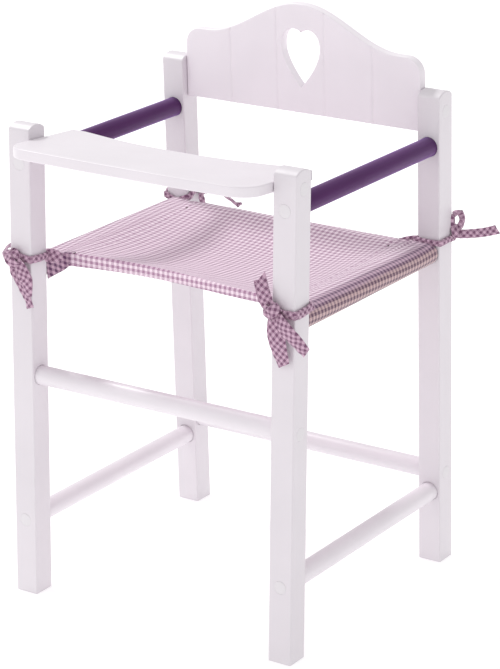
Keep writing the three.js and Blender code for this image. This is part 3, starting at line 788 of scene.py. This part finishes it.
def backed_shade_at(i, j):
    """How much of the light through the cloth is stopped there, painted as shade."""
    x, _, _, on_top = section[i]
    over = across[i] - half_cut
    share = ease(over, *right_backing) if over > 0 else ease(-over, *left_backing)
    if not on_top:
        return share
    if x < 0:
        share = max(share, ease(-x, *hem_backing) * (1 - ease(j, *hem_backing_rows)))
    far = math.hypot(inner_x - x, (rows - 1 - j) * row_pitch)
    return max(share, tie_backing_share * (1 - ease(far, *tie_backing)))


def add_mark(name, value_at):
    mark = sling.data.attributes.new(name, "FLOAT", "POINT")
    mark.data.foreach_set("value", [value_at(i, j) for i in range(columns) for j in range(rows)])


# The first mark paints shade where a rail or folded cloth stops the light through the seat.
add_mark("backed_shade", backed_shade_at)
# The second mark paints the undersides of the casings in darker shade.
add_mark("below", lambda i, j: ease(abs(across[i] - half_cut), *underside))
print("marks:", [mark.name for mark in sling.data.attributes if mark.name in ("backed_shade", "below")])

# %% [markdown]
# ## Stitches
# Rows of thread hold the casings and the hems, and a dark bar tack holds the root of each tie. Each
# stitch is a small bead of thread that dips into the cloth at both ends. The rows follow the grid,
# so they lie on the folds.

# %% One stitch and a seam of them
stitch_length, stitch_pitch, thread_radius, stitch_proud = 2.2, 3.0, 0.2, 0.1
bead_shares, bead_facets, bead_taper, bead_dip = (-0.5, -0.32, 0.0, 0.32, 0.5), 6, 0.75, 6
up, forward = Vector((0, 0, 1)), Vector((0, -1, 0))


def stitch_shape(at, along, out):
    """One stitch: a bead that is thick in the middle and dips at both ends."""
    side, points = along.cross(out).normalized(), []
    for share in bead_shares:
        thick = thread_radius * (1 - (2 * share) ** 4 * bead_taper)
        spine = at + along * stitch_length * share - out * thread_radius * bead_dip * share**2
        points += [spine + (side * math.cos(a) + out * math.sin(a)) * thick for a in full_turn(bead_facets)]
    return points, [face[::-1] for face in tube_faces(len(bead_shares), bead_facets)]


def seam(spots, out):
    """Stitches in even steps along a line of points."""
    places, shapes, k, goal = walk(spots), [], 0, stitch_pitch
    lift = out * (cloth_thickness / 2 + stitch_proud)
    while goal < places[-1] - stitch_pitch:
        while places[k + 1] < goal:
            k += 1
        at = spots[k].lerp(spots[k + 1], (goal - places[k]) / (places[k + 1] - places[k]))
        shapes.append(stitch_shape(at + lift, (spots[k + 1] - spots[k]).normalized(), out))
        goal += stitch_pitch
    return shapes


print("points of a stitch:", len(stitch_shape(Vector(), Vector((1, 0, 0)), up)[0]))

# %% The seams and the bar tacks
hem_seam_row, rear_seam_row, seam_margin = 2, rows - 4, 3
tack_x, tack_ends, tack_stitches, tack_pitch, tack_proud = 111.7, (99.5, -88.0), 6, 0.6, 0.25
seat_top = slice(hem_rows + fold_rows, None)


def column_near(x):
    """The number of the seat's own column that is nearest to a place."""
    return min((i for i in range(columns) if section[i][3]), key=lambda i: abs(section[i][0] - x))


def seam_lines():
    """Both casings, the front hem and the rear hem, each with its way out of the cloth."""
    between = grid[column_near(seam_margin - inner_x):column_near(inner_x - seam_margin)]
    casings = [(grid[column_near(side * stitch_x)][seat_top], up) for side in sides.values()]
    return casings + [([column[hem_seam_row] for column in between], forward),
                      ([column[rear_seam_row] for column in between], up)]


def bar_tack(x, y):
    """A block of close stitches that holds the root of a tie on the cloth."""
    places = [p for i, column in enumerate(grid) if section[i][3] for p in column[seat_top]]
    nearest = min(places, key=lambda p: (p.x - x) ** 2 + (p.y - y) ** 2)
    spot = nearest + up * (cloth_thickness / 2 + tack_proud)
    steps = [tack_pitch * (k - (tack_stitches - 1) / 2) for k in range(tack_stitches)]
    return [stitch_shape(spot + Vector((0, step, 0)), Vector((1, 0, 0)), up) for step in steps]


stitch_shapes = [shape for spots, out in seam_lines() for shape in seam(spots, out)]
stitches = add_piece("sling_stitches", *joined(stitch_shapes), "gingham", sharp=180)
tack_shapes = [shape for y in tack_ends for side in (1, -1) for shape in bar_tack(side * tack_x, y)]
tacks = add_piece("tie_bar_tacks", *joined(tack_shapes), "gingham", sharp=180)
print("stitches:", len(stitch_shapes), "and in the tacks:", len(tack_shapes))

# %% [markdown]
# ## Ties
# A strip of the same cloth is sewn to each corner of the seat, goes round the post and is knotted.
# The strip is cut on the bias and bunched, so its checks run aslant and closer than on the seat.
# A strip is a ribbon: it follows a curve, and at each step it knows its width and which way its
# broad side faces. Turning that side along the way twists the ribbon. The ribbons are modelled one
# by one after the photograph, because a simulated knot would never fall the same way.

# %% A ribbon along a curve
ribbon_thickness, ribbon_across, strip_width = 1.5, 8, 10.5
crumple, crumple_size, pleat, pleat_turns, calm_width = 0.95, 4.5, 0.28, 2.5, 8
twist, twist_pitch, twist_slant, rim_share = 0.35, 6.5, 2.2, 0.35
bunched, wander_size, look_ahead = 1.2, 7, 0.02
bias = Matrix.Rotation(math.radians(38), 2)
noise.seed_set(1)  # so that the checks wander in the same way in each run


def smooth_value(values, place):
    """Values along a list, joined smoothly. place runs from 0 to the last number of the list."""
    k = min(int(place), len(values) - 2)
    t = place - k
    p0, p1, p2, p3 = (values[clamp(k + d, 0, len(values) - 1)] for d in (-1, 0, 1, 2))
    return 0.5 * (2 * p1 + (p2 - p0) * t + (2 * p0 - 5 * p1 + 4 * p2 - p3) * t * t
                  + (3 * p1 - p0 - 3 * p2 + p3) * t**3)


def creased(at, a, width, run, seed, rope):
    """How far the ribbon's surface stands out at a place: crumples, pleats and a rope's twist."""
    calm = min(width / calm_width, 1)
    wave = crumple * noise.noise(at / crumple_size + Vector((seed, 0, 0))) * calm
    wave += pleat * math.sin(pleat_turns * math.pi * a + seed) * calm
    return wave + twist * rope * math.sin(2 * math.pi * run / twist_pitch + twist_slant * a)


def ribbon_shape(stops, steps, seed, cut=0.0, thickness=ribbon_thickness, fold=0.0, rope=0.0):
    """A ribbon through stops of (place, broad side, width), its flat places and its area.
    fold lifts its middle into a ridge, cut slants its far end and rope twists its surface."""
    spots, broad, widths = zip(*((Vector(at), Vector(way), width) for at, way, width in stops))
    points, flats, run, before, last = [], [], 0.0, spots[0], len(stops) - 1
    around = [(2 * k / ribbon_across - 1, 1) for k in range(ribbon_across + 1)]
    around += [(-a, -1) for a, _ in around]
    for k in range(steps + 1):
        place = k / steps * last
        spot, width = smooth_value(spots, place), smooth_value(widths, place)
        ahead, behind = (smooth_value(spots, clamp(place + d, 0, last)) for d in (look_ahead, -look_ahead))
        along, facing = (ahead - behind).normalized(), smooth_value(broad, place)
        facing = (facing - along * facing.dot(along)).normalized()
        side = along.cross(facing)
        run, before = run + (spot - before).length, spot
        for a, layer in around:
            rim = rim_share + (1 - rim_share) * math.sqrt(max(1 - abs(a) ** 6, 0.0))
            lift = layer * thickness / 2 * rim + fold * (1 - abs(a)) * width / 2
            at = spot + side * (a * width / 2) + along * (a * cut * (k == steps))
            points.append(at + facing * (lift + creased(at, a, width, run, seed, rope)))
            wander = noise.noise_vector(spot / wander_size + Vector((a / 2, seed, 0)))
            woven = bias @ ((Vector((run, a * width / 2)) + wander.xy) * bunched)
            flats.append((woven.x + seed, woven.y))
    area = run * (sum(widths) / len(widths) + thickness)
    return points, tube_faces(steps + 1, len(around)), flats, area


print("ribbon:", ribbon_thickness, "mm thick,", 2 * (ribbon_across + 1), "points round")

# %% [markdown]
# The strap goes all round its post, a little clear of the paint. Its height changes from side to
# side, since each strap climbs from the seat corner to its knot. Bands of ribbon round the knot
# hide where the strap and the loose ends meet.

# %% Straps, tails and knots
strap_clear, strap_corner, corner_turn, strap_steps, strap_fold = 1.1, 3.2, 22, 72, 0.12
wrap_stops, wrap_steps = 10, 30


def direction(degrees):
    turn = math.radians(degrees)
    return Vector((math.cos(turn), math.sin(turn), 0))


def strap(side, end, heights, width, seed, thickness=2.6):
    """A strap round a post. heights are for its four sides: front, right, rear, left."""
    stops, reach = [], post_half + strap_clear + ribbon_thickness / 2
    for number, level in enumerate(heights):
        post_y, degrees = post_axis_y(end, level), 90 * (number - 1)
        out = direction(degrees)
        stops.append((Vector((side * post_x, post_y, level)) + out * reach, out, width))
        corner = Vector((side * post_x, post_y, (level + heights[(number + 1) % 4]) / 2))
        corner += direction(degrees + 45) * (reach - strap_corner) * math.sqrt(2)
        for way in (direction(degrees + 45 - corner_turn), direction(degrees + 45 + corner_turn)):
            stops.append((corner + way * strap_corner, way, width))
    return ribbon_shape(stops + stops[:1], strap_steps, seed, thickness=thickness, fold=strap_fold, rope=1)


def tail(knot, stops, steps, seed, cut=1.0, **look):
    """A loose end, by stops given from the knot: (dx, dy, dz), broad side, width."""
    stops = [(Vector(knot) + Vector(at), way, width) for at, way, width in stops]
    return ribbon_shape(stops, steps, seed, cut, **look)


def wrap(knot, offset, axis, up, radii, width, seed):
    """A turn of ribbon round a knot: an oval band about an axis."""
    axis, centre = Vector(axis).normalized(), Vector(knot) + Vector(offset)
    up = (Vector(up) - axis * Vector(up).dot(axis)).normalized()
    side, stops = axis.cross(up), []
    for k in range(wrap_stops + 1):
        angle = 2 * math.pi * k / wrap_stops
        out = up * math.cos(angle) * radii[1] + side * math.sin(angle) * radii[0]
        stops.append((centre + out, out.normalized(), width))
    return ribbon_shape(stops, wrap_steps, seed, thickness=2.0)


def add_tie(name, ribbons):
    points, faces = joined(ribbon[:2] for ribbon in ribbons)
    flat, area = [place for ribbon in ribbons for place in ribbon[2]], sum(ribbon[3] for ribbon in ribbons)
    tie = add_piece(f"{name}_ribbons", points, faces, "gingham", stands_for=[name], sharp=70, flat=flat)
    print(name, "strip:", round(area / strip_width), "mm long")
    return tie


print("straps stand", strap_clear, "mm off the posts")

# %% [markdown]
# Each tie is written down as the photograph shows it: its strap, then each loose end as places from
# the knot with a broad side and a width. The front right tie has one end up and two ends down.

# %% The front right tie
knot = (133.5, -126.0, 323.5)
front, edge_on = (0, -1, 0), (0.8, 0.4, 0)
ties = [add_tie("front_right_tie", [
    strap(1, -1, (321.5, 322.0, 325.0, 325.5), 7.6, 1.0),
    tail(knot, [((-1.5, 0, 0), front, 10), ((-7, -0.5, 9), (0.2, -1, 0), 12.5),
                ((-11, 0.5, 18), (0.3, -1, 0.1), 12), ((-15, 3, 26.5), (0.4, -0.9, 0.1), 11)],
         20, 3.0, cut=4, fold=0.12),
    tail(knot, [((1.5, 0, 0), front, 9), ((2.0, -1.5, -11), (0.2, -1, 0), 13),
                ((5.0, -1.5, -26), (0.1, -1, 0), 16), ((10.8, -0.5, -46), (-0.1, -1, 0), 12.5)],
         26, 5.0, cut=1.5, fold=0.1),
    tail(knot, [((2, 0, -1), front, 9), ((12, -3.0, -10), (0.1, -1, -0.2), 13.5),
                ((22, -2.0, -19.5), (0.1, -1, -0.3), 14), ((33, 0.5, -31), (0.2, -1, -0.2), 10)],
         24, 7.0, fold=0.12),
    wrap(knot, (0, 0, 0), (0.75, 0, -0.66), front, (6.6, 6.2), 9.5, 9.0),
    wrap(knot, (-1.5, 0.5, 1), (0.2, 0, 1), front, (6.2, 5.6), 10.0, 11.0),
])]

# %% [markdown]
# The front left tie hangs from a knot on the outer edge of its post. Its two long ends lie over
# each other, and a short end points away to the left. Its sewn root stands at the seat's corner.

# %% The front left tie
knot = (-143.5, -126.0, 324.5)
root = [((-134, -96, 321.5), (0.2, -1, 0.2), 9), ((-127, -96.5, 322), (0, -1, 0.3), 12.5),
        ((-119.5, -96, 322), (0, -1, 0.4), 12), ((-113.5, -95, 322.5), (0, -1, 0.5), 7)]
ties.append(add_tie("front_left_tie", [
    strap(-1, -1, (325.0, 323.0, 322.5, 325.0), 6.6, 13.0),
    tail(knot, [((0.5, 0, 0), front, 8), ((1.4, -1.5, -10.6), (0.1, -1, 0), 10),
                ((5.9, -1.5, -19.2), front, 9), ((10.7, -1.5, -27.7), front, 8),
                ((15.7, -1, -36.3), (-0.1, -1, 0), 8.5), ((17.3, -0.5, -44), (-0.2, -1, 0), 9.5)],
         28, 15.0, fold=0.14),
    tail(knot, [((3, 0, 0), front, 8), ((10.6, -2.5, -9), (0.3, -1, 0), 12),
                ((15.9, -2.8, -17.5), (0.2, -1, 0), 12.5), ((16.7, -2.5, -25), (0.2, -1, 0), 9.5),
                ((16.2, -1, -34), (0.2, -1, 0), 6)], 26, 17.0, fold=0.12),
    tail(knot, [((0, 0, 2), front, 7), ((-9, 1, 3.2), (-0.2, -0.8, 0.6), 7),
                ((-15.8, 8, 1.8), (-0.6, -0.4, 0.7), 7), ((-27, 28, 0), (-0.7, -0.3, 0.6), 6),
                ((-37.8, 47.5, -7), (-0.7, -0.3, 0.6), 5)], 32, 19.0, fold=0.12),
    tail((0, 0, 0), root, 18, 20.0, cut=0.0, thickness=4.0, fold=0.05),
    wrap(knot, (0, 0, 0), (0.8, 0, 0.6), front, (7.4, 6.2), 9.5, 21.0),
    wrap(knot, (-2, 0.5, 1), (-0.5, 0, 0.85), front, (6.8, 5.6), 9.0, 23.0),
]))

# %% [markdown]
# The rear right tie has a small loop that stands up and one long end that points back. On the rear
# left one only a little shows under the tray.

# %% The two rear ties
knot = (154.0, 148.0, 326.5)
root = [((130, 126, 322.5), edge_on, 5), ((120, 121, 319.8), (0.5, -0.8, 0.2), 6.5),
        ((112, 118, 319.3), (0.5, -0.8, 0.3), 2.5)]
ties.append(add_tie("rear_right_tie", [
    strap(1, 1, (320.6, 321.2, 319.5, 321.0), 5.4, 25.0, thickness=2.8),
    tail(knot, [((-1, 0, 0), edge_on, 6), ((-2.9, -1, 9), (0.9, 0.3, 0.1), 6),
                ((-2.0, 0, 15.2), (0.6, 0.3, 0.7), 6), ((2.5, 3, 17.2), (-0.4, 0, 0.9), 6),
                ((5.0, 5, 12), (-0.9, -0.2, 0.3), 6), ((3.6, 3.5, 5), (-0.9, -0.2, -0.3), 6),
                ((1, 1, 0), (-0.9, -0.3, 0), 6)], 34, 27.0, cut=0.0, thickness=4.6),
    tail(knot, [((0, 0, -2.6), (0.4, -0.9, 0.2), 8), ((12, 3, -1.4), (0.4, -0.9, 0.1), 8.4),
                ((26, 6, 1.4), (0.4, -0.9, 0.2), 8.4), ((39.5, 8.4, 5.8), (0.4, -0.9, 0.1), 8.8)],
         26, 29.0, fold=0.14, rope=1),
    tail((0, 0, 0), root, 16, 30.0, cut=0.0, thickness=2.0),
    wrap(knot, (0, 0, 0), (0.8, 0.5, 0.2), up, (4.6, 5.4), 6.5, 31.0),
]))
knot = (-126.5, 148.0, 325.0)
ties.append(add_tie("rear_left_tie", [
    strap(-1, 1, (316.0, 326.0, 324.5, 326.0), 6.0, 33.0),
    tail(knot, [((2.1, -7.5, -3), edge_on, 6.5), ((4.2, -8, -7.5), (0.6, -0.4, 0.1), 6),
                ((7.2, -9, -15.5), (0.3, -0.9, 0.1), 4.5)], 14, 35.0),
    tail(knot, [((0, 0, 0), up, 7), ((10, 2, 3), (0, 0.1, 1), 7.5),
                ((20, 4.5, -1.5), (0.3, -0.3, 1), 7.5), ((26.9, 6.8, -8.3), edge_on, 7),
                ((33.9, 9.3, -13.4), edge_on, 7), ((36.9, 11.7, -12.5), edge_on, 6)],
         30, 37.0, fold=0.05, thickness=2.4),
    wrap(knot, (0, 0, 0), (0.8, 0.5, 0.2), up, (5.2, 5.6), 7.5, 39.0),
]))

# %% [markdown]
# ## Finishes
# A finish is a tree of nodes that ends in one shader. The helpers below add nodes and join them, so
# that each recipe reads as a list of steps. Clouds of noise, stretched to a range and blended
# between two tones, are in every finish, because no real surface is quite even.

# %% Helpers for node trees
class Wiring:
    """Adds nodes to a tree and joins them."""

    def __init__(self, tree):
        self.tree = tree

    def feed(self, socket, value):
        """Joins a socket to another node, or sets its plain value."""
        if isinstance(value, bpy.types.NodeSocket):
            self.tree.links.new(value, socket)
        else:
            socket.default_value = (*value, 1)[:4] if socket.type == "RGBA" else value

    def node(self, kind, settings=None, inputs=None, **named):
        """A node. Its inputs are fed by number in a table, or by name with _ for a space."""
        made = self.tree.nodes.new(f"ShaderNode{kind}")
        for key, value in (settings or {}).items():
            setattr(made, key, value)
        for key, value in (inputs or {}).items():
            self.feed(made.inputs[key], value)
        for key, value in named.items():
            self.feed(made.inputs[key.replace("_", " ")], value)
        return made.outputs

    def math(self, operation, a, b):
        return self.node("Math", {"operation": operation}, {0: a, 1: b})[0]

    def blend(self, share, a, b):
        """A colour between two others."""
        return self.node("Mix", {"data_type": "RGBA"}, {0: share, 6: a, 7: b})[2]

    def spread(self, value, low, high, new_low=0.0, new_high=1.0):
        """Stretches values between low and high to a new range."""
        return self.node("MapRange", Value=value, From_Min=low, From_Max=high,
                         To_Min=new_low, To_Max=new_high)[0]

    def cloud(self, place, scale, detail, rough=0.5):
        return self.node("TexNoise", Vector=place, Scale=scale, Detail=detail, Roughness=rough)[0]

    def relief(self, shader, height, strength, distance=0.0002):
        bump = self.node("Bump", Strength=strength, Distance=distance, Height=height)[0]
        self.feed(shader.inputs["Normal"], bump)


def new_group(name, inputs, outputs):
    """A node group with named sockets: (name, kind, start value) in, (name, kind) out."""
    group = bpy.data.node_groups.new(name, "ShaderNodeTree")
    for label, kind, value in inputs:
        socket = group.interface.new_socket(label, in_out="INPUT", socket_type=f"NodeSocket{kind}")
        if value is not None:
            socket.default_value = value
    for label, kind in outputs:
        group.interface.new_socket(label, in_out="OUTPUT", socket_type=f"NodeSocket{kind}")
    come, leave = group.nodes.new("NodeGroupInput"), group.nodes.new("NodeGroupOutput")
    return group, Wiring(group), come.outputs, leave.inputs


def new_material(name, **settings):
    """A material with one Principled shader, whose plain values are set on its own sockets."""
    material = bpy.data.materials.new(name)
    material.use_nodes = True
    wire, shader = Wiring(material.node_tree), material.node_tree.nodes["Principled BSDF"]
    for key, value in settings.items():
        wire.feed(shader.inputs[key.replace("_", " ")], value)
    return material, wire, shader


def mottled_material(name, scale, detail, light, dark, **settings):
    """A material that wanders between two tones. Its cloud can drive more of the shader."""
    material, wire, shader = new_material(name, **settings)
    cloud = wire.cloud(wire.node("TexCoord")["Object"], scale, detail)
    wire.feed(shader.inputs["Base Color"], wire.blend(cloud, light, dark))
    return material, wire, shader, cloud


def dress(pieces, material):
    for piece in pieces:
        piece.data.materials.clear()
        piece.data.materials.append(material)


print("node helpers ready")

# %% [markdown]
# ## Paint
# The wood is painted, so its grain shows only as long soft ridges under the paint, with the faint
# mottle of a rolled coat. One node group makes both for every painted material.

# %% A node group for painted wood
def paint_group():
    group, wire, come, leave = new_group(
        "painted wood surface", [("Place", "Vector", None), ("Stretch", "Vector", (1.0, 1.0, 1.0))],
        [("Height", "Float"), ("Tone", "Float"), ("Grain", "Float")])
    place = come["Place"]
    along = wire.node("VectorMath", {"operation": "MULTIPLY"}, {0: place, 1: come["Stretch"]})[0]
    grain = wire.cloud(along, 520.0, 4.0, 0.6)
    ridge = wire.math("MULTIPLY", grain, 0.7)
    peel = wire.math("MULTIPLY", wire.cloud(place, 900.0, 2.0), 0.3)
    wire.feed(leave["Height"], wire.math("ADD", ridge, peel))
    wire.feed(leave["Tone"], wire.cloud(place, 14.0, 3.0, 0.55))
    wire.feed(leave["Grain"], grain)
    return group


painted = paint_group()
print("group sockets:", [s.name for s in painted.interface.items_tree])

# %% Painted materials
grain_stretch = {"x": (0.05, 1.0, 1.0), "y": (1.0, 0.05, 1.0), "z": (1.0, 1.0, 0.05)}
white_paint, white_shade_share, brightest = (0.793, 0.743, 0.789), 0.955, 0.98
arm_purple, arm_shade, arm_slant_reflection = (0.061, 0.009, 0.069), (0.051, 0.007, 0.057), (0.27, 0.155, 0.26)


def painted_material(name, grain, light, dark, rough, bump, **settings):
    """Paint over grain that runs along an axis."""
    material, wire, shader = new_material(name, **settings)
    coat = wire.node("Group", {"node_tree": painted}, Place=wire.node("TexCoord")["Object"],
                     Stretch=grain_stretch[grain])
    wander = wire.spread(coat["Tone"], 0.35, 0.75)
    gloss = wire.spread(coat["Grain"], 0.3, 0.7, rough - 0.05, rough + 0.06)
    wire.feed(shader.inputs["Base Color"], wire.blend(wander, light, dark))
    wire.feed(shader.inputs["Roughness"], gloss)
    wire.relief(shader, coat["Height"], bump)
    return material


def white_coat_with_painted_light(name, grain, share):
    """White paint over wood. share paints the coat lighter or darker on that part, for how much light
    reaches it.
    """
    light = [min(c * share, brightest) for c in white_paint]
    dark = [c * white_shade_share for c in light]
    return painted_material(f"white paint of the {name}", grain, light, dark, 0.42, 0.25,
                            Coat_Weight=0.12, Coat_Roughness=0.25)


def paint_slant_reflection(material, tone, most):
    """Paints a reflection into the base colour: satin paint looks lighter towards its rims, where it is
    seen at a slant.
    """
    wire, shader = Wiring(material.node_tree), material.node_tree.nodes["Principled BSDF"]
    under = shader.inputs["Base Color"].links[0].from_socket
    slant = wire.spread(wire.node("LayerWeight", Blend=0.5)["Facing"], 0.5, 1.0, 0.0, most)
    wire.feed(shader.inputs["Base Color"], wire.blend(slant, under, tone))


purple = painted_material("purple paint, grain along y", "y", arm_purple, arm_shade, 0.46, 0.3,
                          Specular_Tint=(0.66, 0.36, 1.0), Specular_IOR_Level=0.45,
                          Sheen_Weight=0.45, Sheen_Roughness=0.35, Sheen_Tint=(0.50, 0.24, 1.0))
# The arms get a painted reflection of the bright sky towards their rims.
paint_slant_reflection(purple, arm_slant_reflection, 0.35)
dress(arms, purple)
# Each share paints that part's white lighter or darker, standing in for how much light reaches it.
white_parts_with_painted_light = [("posts", "z", 0.97, posts), ("back board", "z", 1.14, [back_board]),
               ("tray", "x", 1.06, [tray]), ("cross rungs", "x", 1.03, cross_dowels),
               ("side rungs", "y", 1.07, side_dowels)]
for name, grain, share, pieces in white_parts_with_painted_light:
    dress(pieces, white_coat_with_painted_light(name, grain, share))
print("painted:", len(arms) + sum(len(pieces) for *_, pieces in white_parts_with_painted_light), "pieces")

# %% [markdown]
# ## Plastic caps and steel screws
# The caps are moulded, so they have a fine even skin and no grain. The screws are zinc-plated and
# hardly seen, but each gets the streaks of its turning.

# %% Caps and screws
def cap_material():
    material, wire, shader, skin = mottled_material(
        "moulded cap", 1600.0, 2.0, (0.775, 0.742, 0.772), (0.74, 0.705, 0.735))
    wire.feed(shader.inputs["Roughness"], wire.spread(skin, 0.3, 0.7, 0.42, 0.55))
    wire.relief(shader, skin, 0.1, 0.0001)
    return material


def screw_material():
    material, wire, shader, streak = mottled_material(
        "zinc-plated screw", 700.0, 3.0, (0.50, 0.50, 0.53), (0.66, 0.66, 0.68), Metallic=1.0)
    wire.feed(shader.inputs["Roughness"], wire.spread(streak, 0.0, 1.0, 0.25, 0.5))
    return material


dress(caps, cap_material())
zinc = screw_material()
screws = [node for name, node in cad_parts.items() if name.endswith("_screw")]
for node in screws:
    for slot in node.material_slots:
        slot.material = zinc
print("caps:", len(caps), "screws:", len(screws))

# %% [markdown]
# ## Gingham
# Gingham is woven from white and coloured threads in even stripes both ways. Where stripes of one
# colour cross the square is full white or full purple, and where they differ it is a half tone. The
# group weaves it from the flat cloth places: two stripe waves, and a fine over-and-under pattern
# that picks the thread on top.

# %% A node group for gingham
check_across, check_along, thread_pitch = 2.785 * MM, 2.61 * MM, 0.36 * MM


def gingham_group():
    group, wire, come, leave = new_group(
        "gingham weave",
        [("Cut", "Vector", None), ("Check across", "Float", check_across),
         ("Check along", "Float", check_along), ("Thread", "Float", thread_pitch),
         ("White", "Color", (1, 1, 1, 1)), ("Dyed", "Color", (0.4, 0.2, 0.4, 1))],
        [("Color", "Color"), ("Height", "Float")])
    cut, thread, stripes, bumps = wire.node("SeparateXYZ", Vector=come["Cut"]), come["Thread"], [], []
    for axis, check in enumerate(("Check across", "Check along")):
        wave = wire.math("PINGPONG", wire.math("DIVIDE", cut[axis], come[check]), 1.0)
        stripes.append(wire.spread(wave, 0.45, 0.55))
        bumps.append(wire.math("PINGPONG", wire.math("DIVIDE", cut[axis], thread), 0.5))
    over = wire.node("TexChecker", Vector=come["Cut"], Color1=(1, 1, 1), Color2=(0, 0, 0),
                     Scale=wire.math("DIVIDE", 1.0, thread))
    top = wire.node("Mix", {"data_type": "FLOAT"}, {0: over["Fac"], 2: stripes[0], 3: stripes[1]})[0]
    even = wire.math("MULTIPLY", wire.math("ADD", *stripes), 0.5)
    dyed = wire.math("ADD", wire.math("MULTIPLY", top, 0.35), wire.math("MULTIPLY", even, 0.65))
    slub = wire.spread(wire.cloud(come["Cut"], 1100.0, 2.0), 0.3, 0.7, 0.90, 1.05)
    woven = wire.blend(dyed, come["White"], come["Dyed"])
    tint = wire.node("VectorMath", {"operation": "SCALE"}, {0: woven}, Scale=slub)[0]
    wire.feed(leave["Color"], tint)
    wire.feed(leave["Height"], wire.math("ADD", *bumps))
    return group


gingham = gingham_group()
print("gingham checks:", check_across / MM, "by", check_along / MM, "mm")

# %% [markdown]
# The seat's own cloth is thin, and light from the floor comes through it. Where it wraps a rail the
# wood stops that light, so the casings are painted deeper, as painted shade, and their undersides
# darker still. The ties are folded strips of several layers, so they are painted deeper still, as
# painted shade. Sheen on the shader gives the soft bloom of cotton.

# %% Gingham materials
seat_tones = ((0.99, 0.82, 0.92), (0.44, 0.235, 0.37))
# Painted shade for cloth with a rail or folded layers behind it.
backed_shade_tones = ((0.62, 0.41, 0.53), (0.13, 0.045, 0.125))
# Painted shade for the undersides of the casings, which face away from the light.
underside_shade_tones = ((0.64, 0.435, 0.445), (0.105, 0.034, 0.085))
# Painted shade for the ties, whose folded layers let less light through.
tie_shade_tones = ((0.66, 0.44, 0.57), (0.21, 0.09, 0.17))


def cloth_material(name, sheen, tones, marks=()):
    """Cotton in pairs of tones. Each mark on the cloth leads over to the next pair."""
    material, wire, shader = new_material(name, Roughness=0.9, Sheen_Weight=sheen, Sheen_Roughness=0.5)
    cut = wire.node("UVMap", {"uv_map": "cloth_cut"})[0]
    weaves = [wire.node("Group", {"node_tree": gingham}, Cut=cut, White=white, Dyed=dyed)
              for white, dyed in tones]
    color = weaves[-1]["Color"]
    for mark, weave in zip(reversed(marks), reversed(weaves[:-1])):
        share = wire.node("Attribute", {"attribute_name": mark})["Fac"]
        color = wire.blend(share, weave["Color"], color)
    wire.feed(shader.inputs["Base Color"], color)
    wire.relief(shader, weaves[0]["Height"], 0.35)
    return material


def thread_material(name, light, dark):
    return mottled_material(name, 2500.0, 1.0, light, dark, Roughness=0.8, Sheen_Weight=0.2)[0]


dress([sling], cloth_material("gingham of the seat", 0.42, (seat_tones, backed_shade_tones, underside_shade_tones),
                              ("backed_shade", "below")))
dress(ties, cloth_material("gingham of the ties", 0.25, (tie_shade_tones,)))
dress([stitches], thread_material("sewing thread", (0.76, 0.60, 0.71), (0.52, 0.35, 0.47)))
dress([tacks], thread_material("dark sewing thread", (0.12, 0.05, 0.07), (0.05, 0.02, 0.03)))
print("cloth and thread pieces:", 3 + len(ties))

# %% [markdown]
# ## Floor and light
# The photograph has a white ground and soft light from everywhere. One stronger lamp stands at the
# upper left, a bit behind: it lays the soft shadow of the left arm across the seat. A pale floor, a
# bright even sky, that lamp and a broad weak one from the front left give the same.

# %% Floor
floor_half = 14.0
corners = [(x * floor_half, y * floor_half, 0) for x, y in ((-1, -1), (1, -1), (1, 1), (-1, 1))]
floor_mesh = bpy.data.meshes.new("floor")
floor_mesh.from_pydata(corners, [], [(0, 1, 2, 3)])
floor = add_object("floor", floor_mesh)
pale_floor = mottled_material(
    "pale floor", 0.6, 2.0, (0.79, 0.79, 0.79), (0.82, 0.82, 0.82), Roughness=0.9,
    Specular_IOR_Level=0.0, Emission_Color=(1, 1, 1), Emission_Strength=0.42)[0]
dress([floor], pale_floor)
floor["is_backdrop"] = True
print("floor:", 2 * floor_half, "m wide")

# %% Light
sky_strength, lit_spot = 0.77, Vector((0, 0, 0.3))


def add_lamp(name, at, size, power, color):
    data = bpy.data.lights.new(name, "AREA")
    data.shape, data.size, data.energy, data.color = "DISK", size, power, color
    lamp = add_object(name, data)
    lamp.location = at
    lamp.rotation_euler = (lit_spot - Vector(at)).to_track_quat("-Z", "Y").to_euler()
    return lamp


lamps = [add_lamp("key from the upper left", (-2.46, 0.78, 3.38), 0.6, 62, (0.99, 1.0, 0.99)),
         add_lamp("fill from the front left", (-1.6, -3.0, 1.6), 2.4, 10, (1.0, 0.99, 1.0))]
world = bpy.data.worlds.new("even sky")
world.use_nodes = True
sky = world.node_tree.nodes["Background"].inputs
sky["Color"].default_value, sky["Strength"].default_value = (1.0, 1.0, 1.0, 1), sky_strength
bpy.context.scene.world = world
bpy.context.scene.view_settings.view_transform = "Standard"
print("lamps:", [lamp.name for lamp in lamps])

# %% [markdown]
# ## Measure
# The dressed chair should fill the same box as the imported one, apart from a little cloth. The last
# lines print both boxes.

# %% Measure and print both boxes
dressed_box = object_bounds()
boxes = {"model": [list(c) for c in model_box], "dressed": [list(c) for c in dressed_box]}
for name, (low, high) in boxes.items():
    print(name, [round(c * 1000, 1) for c in low], [round(c * 1000, 1) for c in high])
